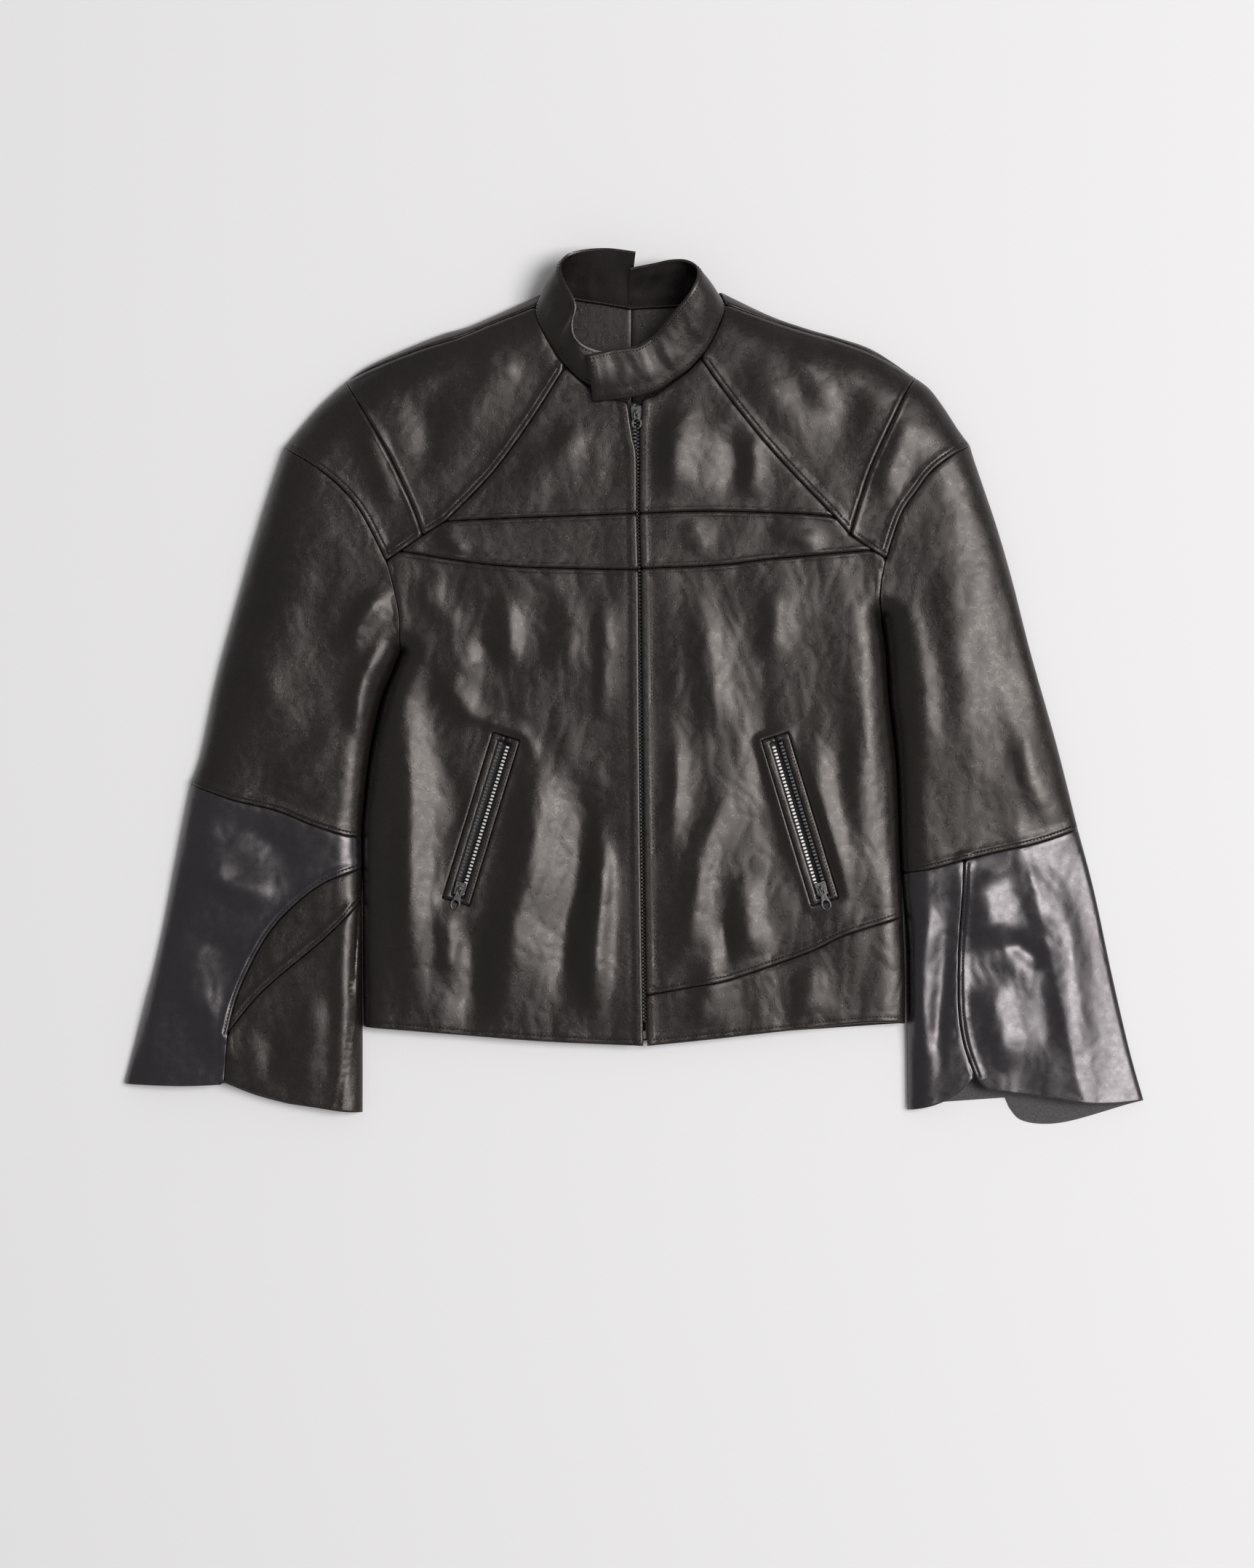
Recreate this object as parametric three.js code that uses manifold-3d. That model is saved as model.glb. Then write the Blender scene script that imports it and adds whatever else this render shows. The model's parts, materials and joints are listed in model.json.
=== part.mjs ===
// A leather jacket laid flat on its back, zip side up, with the sleeves beside the body.
// Millimetres. +X is the wearer's left, +Y points to the collar, +Z is up.
// The origin is under the middle of the jacket, on the surface that it lies on.

import * as THREE from 'three';
import { mergeVertices } from 'three/addons/utils/BufferGeometryUtils.js';
import Module from 'manifold-3d';

const wasm = await Module();
wasm.setup();

// ---- Driving dimensions ----
const LEATHER = 1.6; // thickness of one layer of leather
const SEAM_GAP = 0.35; // clearance kept on each side of a seam
const EDGE_HEIGHT = 4.2; // top of the front layer where it folds round to the back
const FOLD_RADIUS = 46; // width over which the front layer rises from that fold
const ZIP_TOP = new THREE.Vector3(1.5, 258, 28);
const ZIP_BOTTOM = new THREE.Vector3(9.5, -325, 18);
const SEAM_STEP = 20; // spacing of the points taken along a seam

const PLACKET_GAP = 1.8; // half of the slot between the two front edges
const PLACKET_V = 6.6; // half of the slot at the top, where it opens round the slider
const PLACKET_V_END = 209; // height at which the slot is back to its width

const POCKET_LENGTH = 157;
const POCKET_WIDTH = 25.5;
const POCKET_MOUTH = 11.5; // between the two welts
const POCKET_END = 5; // leather closing each end of the mouth
const POCKET_TILT = THREE.MathUtils.degToRad(17);
const POCKET_X = 144.5; // from the middle of the body to the middle of a pocket
const POCKET_Y = -119;
const BODY_MIDDLE = 5.5;

const TOOTH_PITCH = 3.3;
const TOOTH_DEPTH = 0.9;
const ROW_WIDTH = 2.2;
const ROW_HEIGHT = 1.8;
const TAPE = 0.6;
const TAPE_FROM_ROW = 0.3;
const SLIDER_LENGTH = 13;
const SLIDER_HALF = 5.3;
const SLIDER_LIP = 0.7;
const SLIDER_PLATE = 1;
const ROW_CLEARANCE = 0.4; // between a row of teeth and each plate of a slider
const PULL_THICKNESS = 1.2;
const PULL_AXIS = 1.7; // height of the pull's pivot above the leather
const PULL_NECK = 2.4; // half widths of the pull at its neck and at its ring
const PULL_RING = 4.6;

const SNAP_RADIUS = 5;
const SNAP_HEIGHT = 0.6;

// ---- Materials ----
const grained = new THREE.MeshStandardMaterial({ color: 0x2a2522, roughness: 0.45 });
const smooth = new THREE.MeshStandardMaterial({ color: 0x232027, roughness: 0.28 });
const lining = new THREE.MeshStandardMaterial({ color: 0x3a332e, roughness: 0.95 });
const tapeCloth = new THREE.MeshStandardMaterial({ color: 0x121213, roughness: 0.9 });
const gunmetal = new THREE.MeshStandardMaterial({ color: 0x4a4a4e, roughness: 0.3, metalness: 1 });
const brightMetal = new THREE.MeshStandardMaterial({ color: 0xa9a8a6, roughness: 0.25, metalness: 1 });

// ---- Seams, as the few points that each curve passes through ----
const RIGHT = {
  shoulderFold: [[-86, 359], [-146, 332], [-210, 309], [-262, 278]],
  capFold: [[-262, 278], [-302, 240], [-319, 219]],
  shoulderSeam: [[-90, 346], [-134, 329], [-196, 307], [-254, 280]],
  capSeam: [[-262, 278], [-223, 212], [-192, 138]],
  raglanUpper: [[-64, 290], [-113, 215], [-171, 151]],
  raglanLower: [[-171, 151], [-192, 138]],
  raglanEnd: [[-192, 138], [-212, 124]],
  raglanTip: [[-212, 124], [-225, 115]],
  neck: [[-6.5, 258], [-42, 273], [-64, 290]],
  neckSide: [[-64, 290], [-84, 324], [-90, 346]],
  armholeUpper: [[-319, 219], [-272, 187], [-242, 149], [-225, 115]],
  armholeLower: [[-225, 115], [-215, 68], [-213, 33]],
  bandTop: [[-171, 151], [-104, 154], [2, 158]],
  bandBottom: [[-212, 124], [-113, 110], [4, 107]],
  side: [[-213, 33], [-230, -12], [-244, -79], [-248, -135]],
  sideLower: [[-248, -135], [-248, -308]],
  hem: [[-248, -308], [-118, -317], [7, -325]],
  outerUpper: [[-319, 219], [-340, 154], [-380, 9], [-404, -87]],
  cuffSeam: [[-248, -135], [-291, -125], [-367, -101], [-404, -87]],
};

const LEFT = {
  shoulderFold: [[79, 362], [123, 340], [188, 319], [255, 283]],
  capFold: [[255, 283], [282, 256], [306, 221]],
  shoulderSeam: [[82, 348], [127, 333], [184, 316], [247, 285]],
  capSeam: [[255, 283], [216, 205], [195, 139]],
  raglanUpper: [[60, 298], [113, 229], [181, 155]],
  raglanLower: [[181, 155], [195, 139]],
  raglanEnd: [[195, 139], [215, 125]],
  raglanTip: [[215, 125], [228, 117]],
  neck: [[6.5, 260], [33, 275], [60, 298]],
  neckSide: [[60, 298], [76, 328], [82, 348]],
  armholeUpper: [[306, 221], [269, 196], [241, 156], [228, 117]],
  armholeLower: [[228, 117], [224, 90], [225, 64]],
  bandTop: [[181, 155], [110, 160], [5, 158]],
  bandBottom: [[215, 125], [118, 116], [7, 108]],
  side: [[225, 64], [230, 10], [240, -75], [243, -168]],
  sideLower: [[243, -168], [245, -208]],
  sideHem: [[245, -208], [247, -305]],
  hem: [[247, -305], [175, -307], [71, -319], [11, -325]],
  outerUpper: [[306, 221], [330, 148], [361, 33], [404, -128]],
  cuffSeam: [[243, -168], [299, -156]],
  cuffSeamOuter: [[299, -156], [404, -128]],
  hemSeam: [[11, -279], [89, -264], [158, -240], [245, -208]],
};

const RIGHT_CUFF = {
  innerTop: [[-248, -135], [-248, -164]],
  crescentTop: [[-248, -164], [-302, -191], [-341, -237], [-369, -313]],
  innerMiddle: [[-248, -164], [-248, -195]],
  crescentBottom: [[-248, -195], [-302, -246], [-345, -283], [-369, -313]],
  innerBottom: [[-248, -195], [-248, -386]],
  slit: [[-369, -313], [-373, -359]],
  bottomInner: [[-248, -386], [-315, -376], [-373, -359]],
  bottomOuter: [[-373, -360], [-465, -360]],
  outer: [[-404, -87], [-433, -237], [-465, -360]],
};

const LEFT_CUFF = {
  inner: [[243, -168], [248, -260], [249, -384]],
  middle: [[299, -156], [294, -240], [296, -310], [309, -352]],
  bottomInner: [[249, -384], [281, -376], [309, -352]],
  bottomOuter: [[309, -352], [320, -364], [407, -377], [465, -376]],
  outer: [[404, -128], [435, -260], [465, -376]],
  flap: [[249, -378], [336, -372], [352, -392], [399, -394], [465, -378]],
};

// ---- Outlines ----
const spline = (points) => new THREE.SplineCurve(points.map(([x, y]) => new THREE.Vector2(x, y)));

function seam(points, step = SEAM_STEP) {
  const curve = spline(points);
  const count = Math.max(1, Math.round(curve.getLength() / step));
  return points.length === 2 ? [curve.getPoint(0), curve.getPoint(1)] : curve.getSpacedPoints(count);
}

const reversed = (points) => [...points].reverse();

// Joins seams end to end into one closed outline, running counterclockwise.
function outline(...seams) {
  const points = [];
  for (const point of seams.flatMap((one) => seam(one))) {
    if (!points.length || point.distanceTo(points.at(-1)) > 1) points.push(point);
  }
  if (points[0].distanceTo(points.at(-1)) < 1) points.pop();
  return THREE.ShapeUtils.isClockWise(points) ? points.reverse() : points;
}

// Moves every corner of an outline inwards, so that neighbours stay clear of each other.
function inset(points, gap) {
  return points.map((point, i) => {
    const before = points.at(i - 1);
    const after = points[(i + 1) % points.length];
    const arriving = point.clone().sub(before).normalize();
    const leaving = after.clone().sub(point).normalize();
    const inward = new THREE.Vector2(-arriving.y - leaving.y, arriving.x + leaving.x).normalize();
    const miter = Math.max(0.5, inward.dot(new THREE.Vector2(-arriving.y, arriving.x)));
    return point.clone().addScaledVector(inward, gap / miter);
  });
}

// ---- Closed solids ----
function toSolid(geometry) {
  const bare = geometry.clone();
  bare.deleteAttribute('normal');
  bare.deleteAttribute('uv');
  const merged = mergeVertices(bare, 1e-4);
  return new wasm.Manifold(new wasm.Mesh({
    numProp: 3,
    vertProperties: new Float32Array(merged.attributes.position.array),
    triVerts: new Uint32Array(merged.index.array),
  }));
}

function toGeometry(solid) {
  const mesh = solid.getMesh();
  const geometry = new THREE.BufferGeometry();
  geometry.setAttribute('position', new THREE.BufferAttribute(mesh.vertProperties, 3));
  geometry.setIndex(new THREE.BufferAttribute(mesh.triVerts, 1));
  return geometry;
}

function prism(points, bottom, top) {
  const geometry = new THREE.ExtrudeGeometry(new THREE.Shape(points), {
    depth: top - bottom,
    bevelEnabled: false,
    curveSegments: 6,
  });
  return geometry.translate(0, 0, bottom);
}

function block(x0, x1, y0, y1, z0, z1) {
  const geometry = new THREE.BoxGeometry(x1 - x0, y1 - y0, z1 - z0);
  return geometry.translate((x0 + x1) / 2, (y0 + y1) / 2, (z0 + z1) / 2);
}

// A box bent over a surface: its top face follows place(u, v), its bottom face lies below it.
function bentSheet(place, columns, rows, under) {
  const geometry = new THREE.BoxGeometry(1, 1, 1, columns, rows, 1);
  const position = geometry.attributes.position;
  for (let i = 0; i < position.count; i += 1) {
    const column = Math.round((position.getX(i) + 0.5) * columns);
    const row = Math.round((position.getY(i) + 0.5) * rows);
    const point = place(column, row);
    if (position.getZ(i) < 0) point.add(under(column, row));
    position.setXYZ(i, point.x, point.y, point.z);
  }
  return geometry;
}

// ---- Height of the front layer ----
const frontSlope = (ZIP_TOP.z - ZIP_BOTTOM.z) / (ZIP_TOP.y - ZIP_BOTTOM.y);
const frontPlane = (y) => ZIP_TOP.z + (y - ZIP_TOP.y) * frontSlope;

// The folded edges, each carried straight on past the cuff that it ends at.
const PAST_CUFF = -410;
const pastCuff = ([x, y]) => [[x, y], [x, PAST_CUFF]];
const folds = [
  [RIGHT.shoulderFold, RIGHT.capFold, RIGHT.outerUpper, RIGHT_CUFF.outer,
    pastCuff(RIGHT_CUFF.outer.at(-1))],
  [LEFT.shoulderFold, LEFT.capFold, LEFT.outerUpper, LEFT_CUFF.outer,
    pastCuff(LEFT_CUFF.outer.at(-1))],
  [RIGHT.side, pastCuff(RIGHT.side.at(-1))],
  [LEFT.side, LEFT_CUFF.inner, pastCuff(LEFT_CUFF.inner.at(-1))],
].map((line) => line.flatMap((one) => seam(one)));

function distanceToFolds(x, y) {
  const point = new THREE.Vector2(x, y);
  let nearest = Infinity;
  for (const line of folds) {
    for (let i = 1; i < line.length; i += 1) {
      const along = line[i].clone().sub(line[i - 1]);
      const share = point.clone().sub(line[i - 1]).dot(along) / Math.max(along.lengthSq(), 1e-9);
      const foot = line[i - 1].clone().addScaledVector(along, THREE.MathUtils.clamp(share, 0, 1));
      nearest = Math.min(nearest, foot.distanceTo(point));
    }
  }
  return nearest;
}

function frontHeight(x, y) {
  const share = Math.min(1, distanceToFolds(x, y) / FOLD_RADIUS);
  const rise = Math.sqrt(1 - (1 - share) ** 2);
  return EDGE_HEIGHT + (frontPlane(y) - EDGE_HEIGHT) * rise;
}

// The x at which a chain of seams crosses a height, for seams that run up or down throughout.
function crossing(seams) {
  const line = seams.flatMap((one) => seam(one, 8)).sort((a, b) => a.y - b.y);
  return (y) => {
    const next = line.findIndex((point) => point.y >= y);
    if (next === -1) return line.at(-1).x;
    if (next === 0) return line[0].x;
    const [low, high] = [line[next - 1], line[next]];
    return THREE.MathUtils.mapLinear(y, low.y, Math.max(high.y, low.y + 1e-6), low.x, high.x);
  };
}

// A sheet of leather lying over the rows of heights, from one side curve to the other.
function leatherSheet(fromX, toX, rowHeights, overhang) {
  const columnShares = (width) => {
    const edge = Math.min(FOLD_RADIUS, width * 0.4);
    const near = [0, 0.13, 0.35, 0.65, 1].map((share) => share * edge);
    const middle = [0.25, 0.5, 0.75].map((share) => edge + (width - 2 * edge) * share);
    return [...near, ...middle, ...reversed(near).map((distance) => width - distance)];
  };
  const columns = columnShares(100).length - 1;
  const place = (column, row) => {
    const y = rowHeights[row];
    const width = toX(y) - fromX(y);
    const x = fromX(y) + columnShares(width)[column];
    const height = frontHeight(x, y);
    const outward = column === 0 ? -overhang : column === columns ? overhang : 0;
    return new THREE.Vector3(x + outward, y, height);
  };
  const under = () => new THREE.Vector3(0, 0, -LEATHER);
  return toSolid(bentSheet(place, columns, rowHeights.length - 1, under));
}

function rows(from, to, count) {
  return Array.from({ length: count + 1 }, (_, i) => THREE.MathUtils.lerp(from, to, i / count));
}

const bodySheet = leatherSheet(
  crossing([RIGHT.sideLower, RIGHT.side, RIGHT.armholeLower, RIGHT.armholeUpper, RIGHT.capFold,
    RIGHT.shoulderFold]),
  crossing([LEFT.sideHem, LEFT.sideLower, LEFT.side, LEFT.armholeLower, LEFT.armholeUpper,
    LEFT.capFold, LEFT.shoulderFold]),
  [...rows(-340, 220, 11), ...rows(236, 366, 8)],
  6,
);
const rightSleeveSheet = leatherSheet(
  crossing([RIGHT_CUFF.outer, RIGHT.outerUpper]),
  crossing([[[-248, -386], [-248, -135]], RIGHT.side, RIGHT.armholeLower, RIGHT.armholeUpper]),
  rows(-400, 212, 14),
  4,
);
const leftSleeveSheet = leatherSheet(
  crossing([LEFT_CUFF.inner, LEFT.side, LEFT.armholeLower, LEFT.armholeUpper]),
  crossing([LEFT_CUFF.outer, LEFT.outerUpper]),
  rows(-400, 214, 14),
  4,
);

// ---- The assembly ----
const jacket = new THREE.Group();

function add(name, geometry, material, parent = jacket) {
  const mesh = new THREE.Mesh(geometry, material);
  mesh.name = name;
  parent.add(mesh);
}

const TALL = [-5, 90];

function addPanel(name, points, sheet, material = grained) {
  const cutter = toSolid(prism(inset(points, SEAM_GAP), ...TALL));
  add(name, toGeometry(sheet.intersect(cutter)), material);
}

// ---- Places on the front: x across, y up the zip or pocket, z out of the leather ----
function frontFrame(x, y, sideways) {
  const frame = new THREE.Group();
  const outwards = new THREE.Vector3(0, -frontSlope, 1).normalize();
  const upwards = new THREE.Vector3(sideways, 1, frontSlope).normalize();
  const across = new THREE.Vector3().crossVectors(upwards, outwards);
  frame.quaternion.setFromRotationMatrix(new THREE.Matrix4().makeBasis(across, upwards, outwards));
  frame.position.set(x, y, frontPlane(y));
  frame.updateMatrixWorld();
  jacket.add(frame);
  return frame;
}

const zipSideways = (ZIP_TOP.x - ZIP_BOTTOM.x) / (ZIP_TOP.y - ZIP_BOTTOM.y);
const zipX = (y) => ZIP_TOP.x + (y - ZIP_TOP.y) * zipSideways;

// A point on the front edge of one side; side is -1 on the wearer's right.
function edgePoint(side, y) {
  const share = Math.max(0, (y - PLACKET_V_END) / (ZIP_TOP.y - PLACKET_V_END));
  const opening = PLACKET_GAP - SEAM_GAP + (PLACKET_V - PLACKET_GAP) * share ** 1.5;
  return [zipX(y) + side * opening, y];
}

function frontEdge(side, from, to) {
  const heights = [from, ...[240, PLACKET_V_END].filter((y) => y < from && y > to), to];
  return heights.map((y) => edgePoint(side, y));
}

// ---- Pockets: a slanted window in each lower front ----
const pocketFrame = (side) =>
  frontFrame(BODY_MIDDLE + side * POCKET_X, POCKET_Y, -side * Math.tan(POCKET_TILT));
const pocketFrames = { right: pocketFrame(-1), left: pocketFrame(1) };

function pocketWindow(frame) {
  const [x, y] = [POCKET_WIDTH / 2, POCKET_LENGTH / 2];
  return toSolid(block(-x, x, -y, y, -8, 8).applyMatrix4(frame.matrixWorld));
}

// ---- Body: the front, panel by panel ----
const HEM_SEAM_Y = LEFT.hemSeam[0][1];

function addFront(name, side, lines, lowerEnd, lowerLines) {
  const meetEdge = (line) => [...line.slice(0, -1), edgePoint(side, line.at(-1)[1])];
  const neckTop = edgePoint(side, lines.neck[0][1]);
  const bandTop = meetEdge(lines.bandTop);
  const bandBottom = meetEdge(lines.bandBottom);
  const edge = (from, to) => frontEdge(side, from, to);
  addPanel(`${name}_shoulder_panel`, outline(
    lines.shoulderSeam, lines.capSeam, reversed(lines.raglanLower), reversed(lines.raglanUpper),
    lines.neckSide,
  ), bodySheet);
  addPanel(`${name}_shoulder_cap`, outline(
    lines.capFold, lines.armholeUpper, reversed(lines.raglanTip), reversed(lines.raglanEnd),
    reversed(lines.capSeam),
  ), bodySheet);
  addPanel(`${name}_back_yoke`, outline(
    lines.shoulderFold.slice(0, -1), reversed(lines.shoulderSeam),
  ), bodySheet);
  addPanel(`${name}_upper_front`, outline(
    [neckTop, ...lines.neck.slice(1)], lines.raglanUpper, bandTop,
    reversed(edge(neckTop[1], bandTop.at(-1)[1])),
  ), bodySheet);
  addPanel(`${name}_chest_band`, outline(
    bandTop, edge(bandTop.at(-1)[1], bandBottom.at(-1)[1]), reversed(bandBottom),
    reversed(lines.raglanEnd), reversed(lines.raglanLower),
  ), bodySheet);
  const lower = outline(
    bandBottom, edge(bandBottom.at(-1)[1], lowerEnd), ...lowerLines,
    reversed(lines.side), reversed(lines.armholeLower), reversed(lines.raglanTip),
  );
  const cutter = toSolid(prism(inset(lower, SEAM_GAP), ...TALL));
  const panel = bodySheet.intersect(cutter).subtract(pocketWindow(pocketFrames[name]));
  add(`${name}_lower_front`, toGeometry(panel), grained);
}

addFront('right', -1, RIGHT, RIGHT.hem.at(-1)[1], [reversed(RIGHT.hem), reversed(RIGHT.sideLower)]);
addFront('left', 1, LEFT, HEM_SEAM_Y, [LEFT.hemSeam, reversed(LEFT.sideLower)]);
addPanel('left_hem_panel', outline(
  reversed(LEFT.hemSeam), frontEdge(1, HEM_SEAM_Y, LEFT.hem.at(-1)[1]), reversed(LEFT.hem),
  reversed(LEFT.sideHem),
), bodySheet);

// ---- Body: the back, flat under the front ----
function addFlat(name, points, material = grained) {
  add(name, prism(inset(points, SEAM_GAP), 0, LEATHER), material);
}

const CENTRE_BACK = -3;
const BACK_NECK_Y = 344;
const BACK_HEM_Y = -322;

addFlat('back_right_panel', outline(
  [[CENTRE_BACK, BACK_HEM_Y], [-118, -317], [-248, -308]], reversed(RIGHT.sideLower),
  reversed(RIGHT.side), reversed(RIGHT.armholeLower), reversed(RIGHT.armholeUpper),
  reversed(RIGHT.capFold), reversed(RIGHT.shoulderFold), [[-84, 352], [CENTRE_BACK, BACK_NECK_Y]],
));
addFlat('back_left_panel', outline(
  [[CENTRE_BACK, BACK_HEM_Y], [71, -319], [247, -305]], reversed(LEFT.sideHem),
  reversed(LEFT.sideLower), reversed(LEFT.side), reversed(LEFT.armholeLower),
  reversed(LEFT.armholeUpper), reversed(LEFT.capFold), reversed(LEFT.shoulderFold),
  [[77, 352], [CENTRE_BACK, BACK_NECK_Y]],
));

// ---- Sleeves ----
const rightSleeve = outline(
  RIGHT.armholeUpper, RIGHT.armholeLower, RIGHT.side, RIGHT.cuffSeam, reversed(RIGHT.outerUpper),
);
const leftSleeve = outline(
  LEFT.armholeUpper, LEFT.armholeLower, LEFT.side, LEFT.cuffSeam, LEFT.cuffSeamOuter,
  reversed(LEFT.outerUpper),
);
addPanel('right_sleeve_upper', rightSleeve, rightSleeveSheet);
addPanel('left_sleeve_upper', leftSleeve, leftSleeveSheet);
addFlat('right_sleeve_under', rightSleeve);
addFlat('left_sleeve_under', leftSleeve);

addPanel('right_cuff_outer', outline(
  RIGHT.cuffSeam, RIGHT_CUFF.outer, reversed(RIGHT_CUFF.bottomOuter), reversed(RIGHT_CUFF.slit),
  reversed(RIGHT_CUFF.crescentTop), reversed(RIGHT_CUFF.innerTop),
), rightSleeveSheet, smooth);
addPanel('right_cuff_crescent', outline(
  RIGHT_CUFF.innerMiddle, RIGHT_CUFF.crescentBottom, reversed(RIGHT_CUFF.crescentTop),
), rightSleeveSheet);
addPanel('right_cuff_inner', outline(
  RIGHT_CUFF.innerBottom, RIGHT_CUFF.bottomInner, reversed(RIGHT_CUFF.slit),
  reversed(RIGHT_CUFF.crescentBottom),
), rightSleeveSheet);
addFlat('right_cuff_back', outline(
  RIGHT.cuffSeam, RIGHT_CUFF.outer, reversed(RIGHT_CUFF.bottomOuter),
  reversed(RIGHT_CUFF.bottomInner),
), smooth);

addPanel('left_cuff_front_inner', outline(
  LEFT.cuffSeam, LEFT_CUFF.middle, reversed(LEFT_CUFF.bottomInner), reversed(LEFT_CUFF.inner),
), leftSleeveSheet, smooth);
addPanel('left_cuff_front_outer', outline(
  LEFT.cuffSeamOuter, LEFT_CUFF.outer, reversed(LEFT_CUFF.bottomOuter),
  reversed(LEFT_CUFF.middle),
), leftSleeveSheet, smooth);
addFlat('left_cuff_back', outline(
  LEFT.cuffSeam, LEFT.cuffSeamOuter, LEFT_CUFF.outer, reversed(LEFT_CUFF.flap),
  [[249, -378], [248, -260], [243, -168]],
), smooth);

// ---- Zips: heights are below the outer face of the leather ----
// One row of teeth, pointed towards the other row; side says which way the tape lies.
function toothRow(side, inner, from, to, top, toothedTo) {
  const points = [new THREE.Vector2(side * (inner + ROW_WIDTH), from)];
  for (let y = from; y > toothedTo + TOOTH_PITCH; y -= TOOTH_PITCH) {
    points.push(new THREE.Vector2(side * inner, y));
    points.push(new THREE.Vector2(side * (inner + TOOTH_DEPTH), y - TOOTH_PITCH / 2));
  }
  points.push(new THREE.Vector2(side * inner, Math.max(to, toothedTo)));
  if (toothedTo > to) points.push(new THREE.Vector2(side * inner, to));
  points.push(new THREE.Vector2(side * (inner + ROW_WIDTH), to));
  return prism(points, top - ROW_HEIGHT, top);
}

const tapeStrip = (side, inner, outer, from, to, top) =>
  block(...[side * inner, side * outer].sort((a, b) => a - b), to, from, top - 2 * TAPE, top - TAPE);

// The slider is two plates with lips round both rows, joined by a web between the rows.
function sliderBody(plateTop, rowTop, web) {
  const lipInside = SLIDER_HALF - SLIDER_LIP;
  const plateBottom = rowTop + ROW_CLEARANCE;
  const lowerTop = rowTop - ROW_HEIGHT - ROW_CLEARANCE;
  const half = [
    [SLIDER_HALF, plateTop], [SLIDER_HALF, plateBottom - SLIDER_LIP],
    [lipInside, plateBottom - SLIDER_LIP], [lipInside, plateBottom],
    [web, plateBottom], [web, lowerTop], [lipInside, lowerTop],
    [lipInside, lowerTop + SLIDER_LIP], [SLIDER_HALF, lowerTop + SLIDER_LIP],
    [SLIDER_HALF, lowerTop - SLIDER_PLATE],
  ];
  const mirrored = reversed(half).map(([x, z]) => [-x, z]);
  const shape = new THREE.Shape([...half, ...mirrored].map(([x, z]) => new THREE.Vector2(x, z)));
  const geometry = new THREE.ExtrudeGeometry(shape, { depth: SLIDER_LENGTH, bevelEnabled: false });
  return geometry.rotateX(Math.PI / 2).translate(0, SLIDER_LENGTH / 2, 0);
}

const BAIL = { halfLength: 2.8, holeLength: 1.6, holeHeight: 1, top: 1.9, halfWidth: 0.8, bevel: 0.8 };

// The arch on top of the slider that holds the pull's bar.
function bail(plateTop) {
  const foot = plateTop - SLIDER_PLATE / 3;
  const [top, shoulder] = [PULL_AXIS + BAIL.top, PULL_AXIS + BAIL.top - BAIL.bevel];
  const outer = new THREE.Shape([
    [-BAIL.halfLength, foot], [BAIL.halfLength, foot],
    [BAIL.halfLength, shoulder], [BAIL.halfLength - BAIL.bevel, top],
    [BAIL.bevel - BAIL.halfLength, top], [-BAIL.halfLength, shoulder],
  ].map(([y, z]) => new THREE.Vector2(y, z)));
  outer.holes.push(new THREE.Path([
    [-BAIL.holeLength, PULL_AXIS - BAIL.holeHeight], [BAIL.holeLength, PULL_AXIS - BAIL.holeHeight],
    [BAIL.holeLength, PULL_AXIS + BAIL.holeHeight], [-BAIL.holeLength, PULL_AXIS + BAIL.holeHeight],
  ].map(([y, z]) => new THREE.Vector2(y, z))));
  const geometry = new THREE.ExtrudeGeometry(outer, {
    depth: 2 * BAIL.halfWidth,
    bevelEnabled: false,
  });
  const turned = new THREE.Matrix4().makeBasis(
    new THREE.Vector3(0, 1, 0), new THREE.Vector3(0, 0, 1), new THREE.Vector3(1, 0, 0),
  );
  return geometry.applyMatrix4(turned).translate(-BAIL.halfWidth, 0, 0);
}

// The pull hangs from its bar, which lies through the bail; its lower end is an oval ring.
function pull(length) {
  const [neck, wide] = [PULL_NECK, PULL_RING];
  const [neckEnd, bend] = [-5.4, -8];
  const ringMiddle = wide - length;
  const shape = new THREE.Shape();
  shape.moveTo(-neck, 0.5);
  shape.lineTo(-neck, neckEnd);
  shape.bezierCurveTo(-neck - 0.2, bend, -wide, ringMiddle + 3.4, -wide, ringMiddle + 0.4);
  shape.absarc(0, ringMiddle, wide, Math.PI, 2 * Math.PI, false);
  shape.bezierCurveTo(wide, ringMiddle + 3.4, neck + 0.2, bend, neck, neckEnd);
  shape.lineTo(neck, 0.5);
  const loop = new THREE.Path([
    [1 - neck, -0.5], [neck - 1, -0.5], [neck - 1, neckEnd + 0.8], [1 - neck, neckEnd + 0.8],
  ].map(([x, y]) => new THREE.Vector2(x, y)));
  const ring = new THREE.Path();
  const ringHalf = Math.min(4, (length - 2 * wide) / 2 + 1);
  ring.absellipse(0, ringMiddle + 0.4, wide - 1.8, ringHalf, 0, 2 * Math.PI);
  shape.holes.push(loop, ring);
  const geometry = new THREE.ExtrudeGeometry(shape, {
    depth: PULL_THICKNESS,
    bevelEnabled: false,
    curveSegments: 6,
  });
  return geometry.translate(0, 0, PULL_AXIS - PULL_THICKNESS / 2);
}

function addSlider(name, frame, y, plateTop, rowTop, web, pullLength) {
  const body = toSolid(sliderBody(plateTop, rowTop, web)).add(toSolid(bail(plateTop)));
  add(`${name}_slider`, toGeometry(body).translate(0, y, 0), gunmetal, frame);
  add(`${name}_pull`, pull(pullLength).translate(0, y, 0), gunmetal, frame);
}

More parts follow.
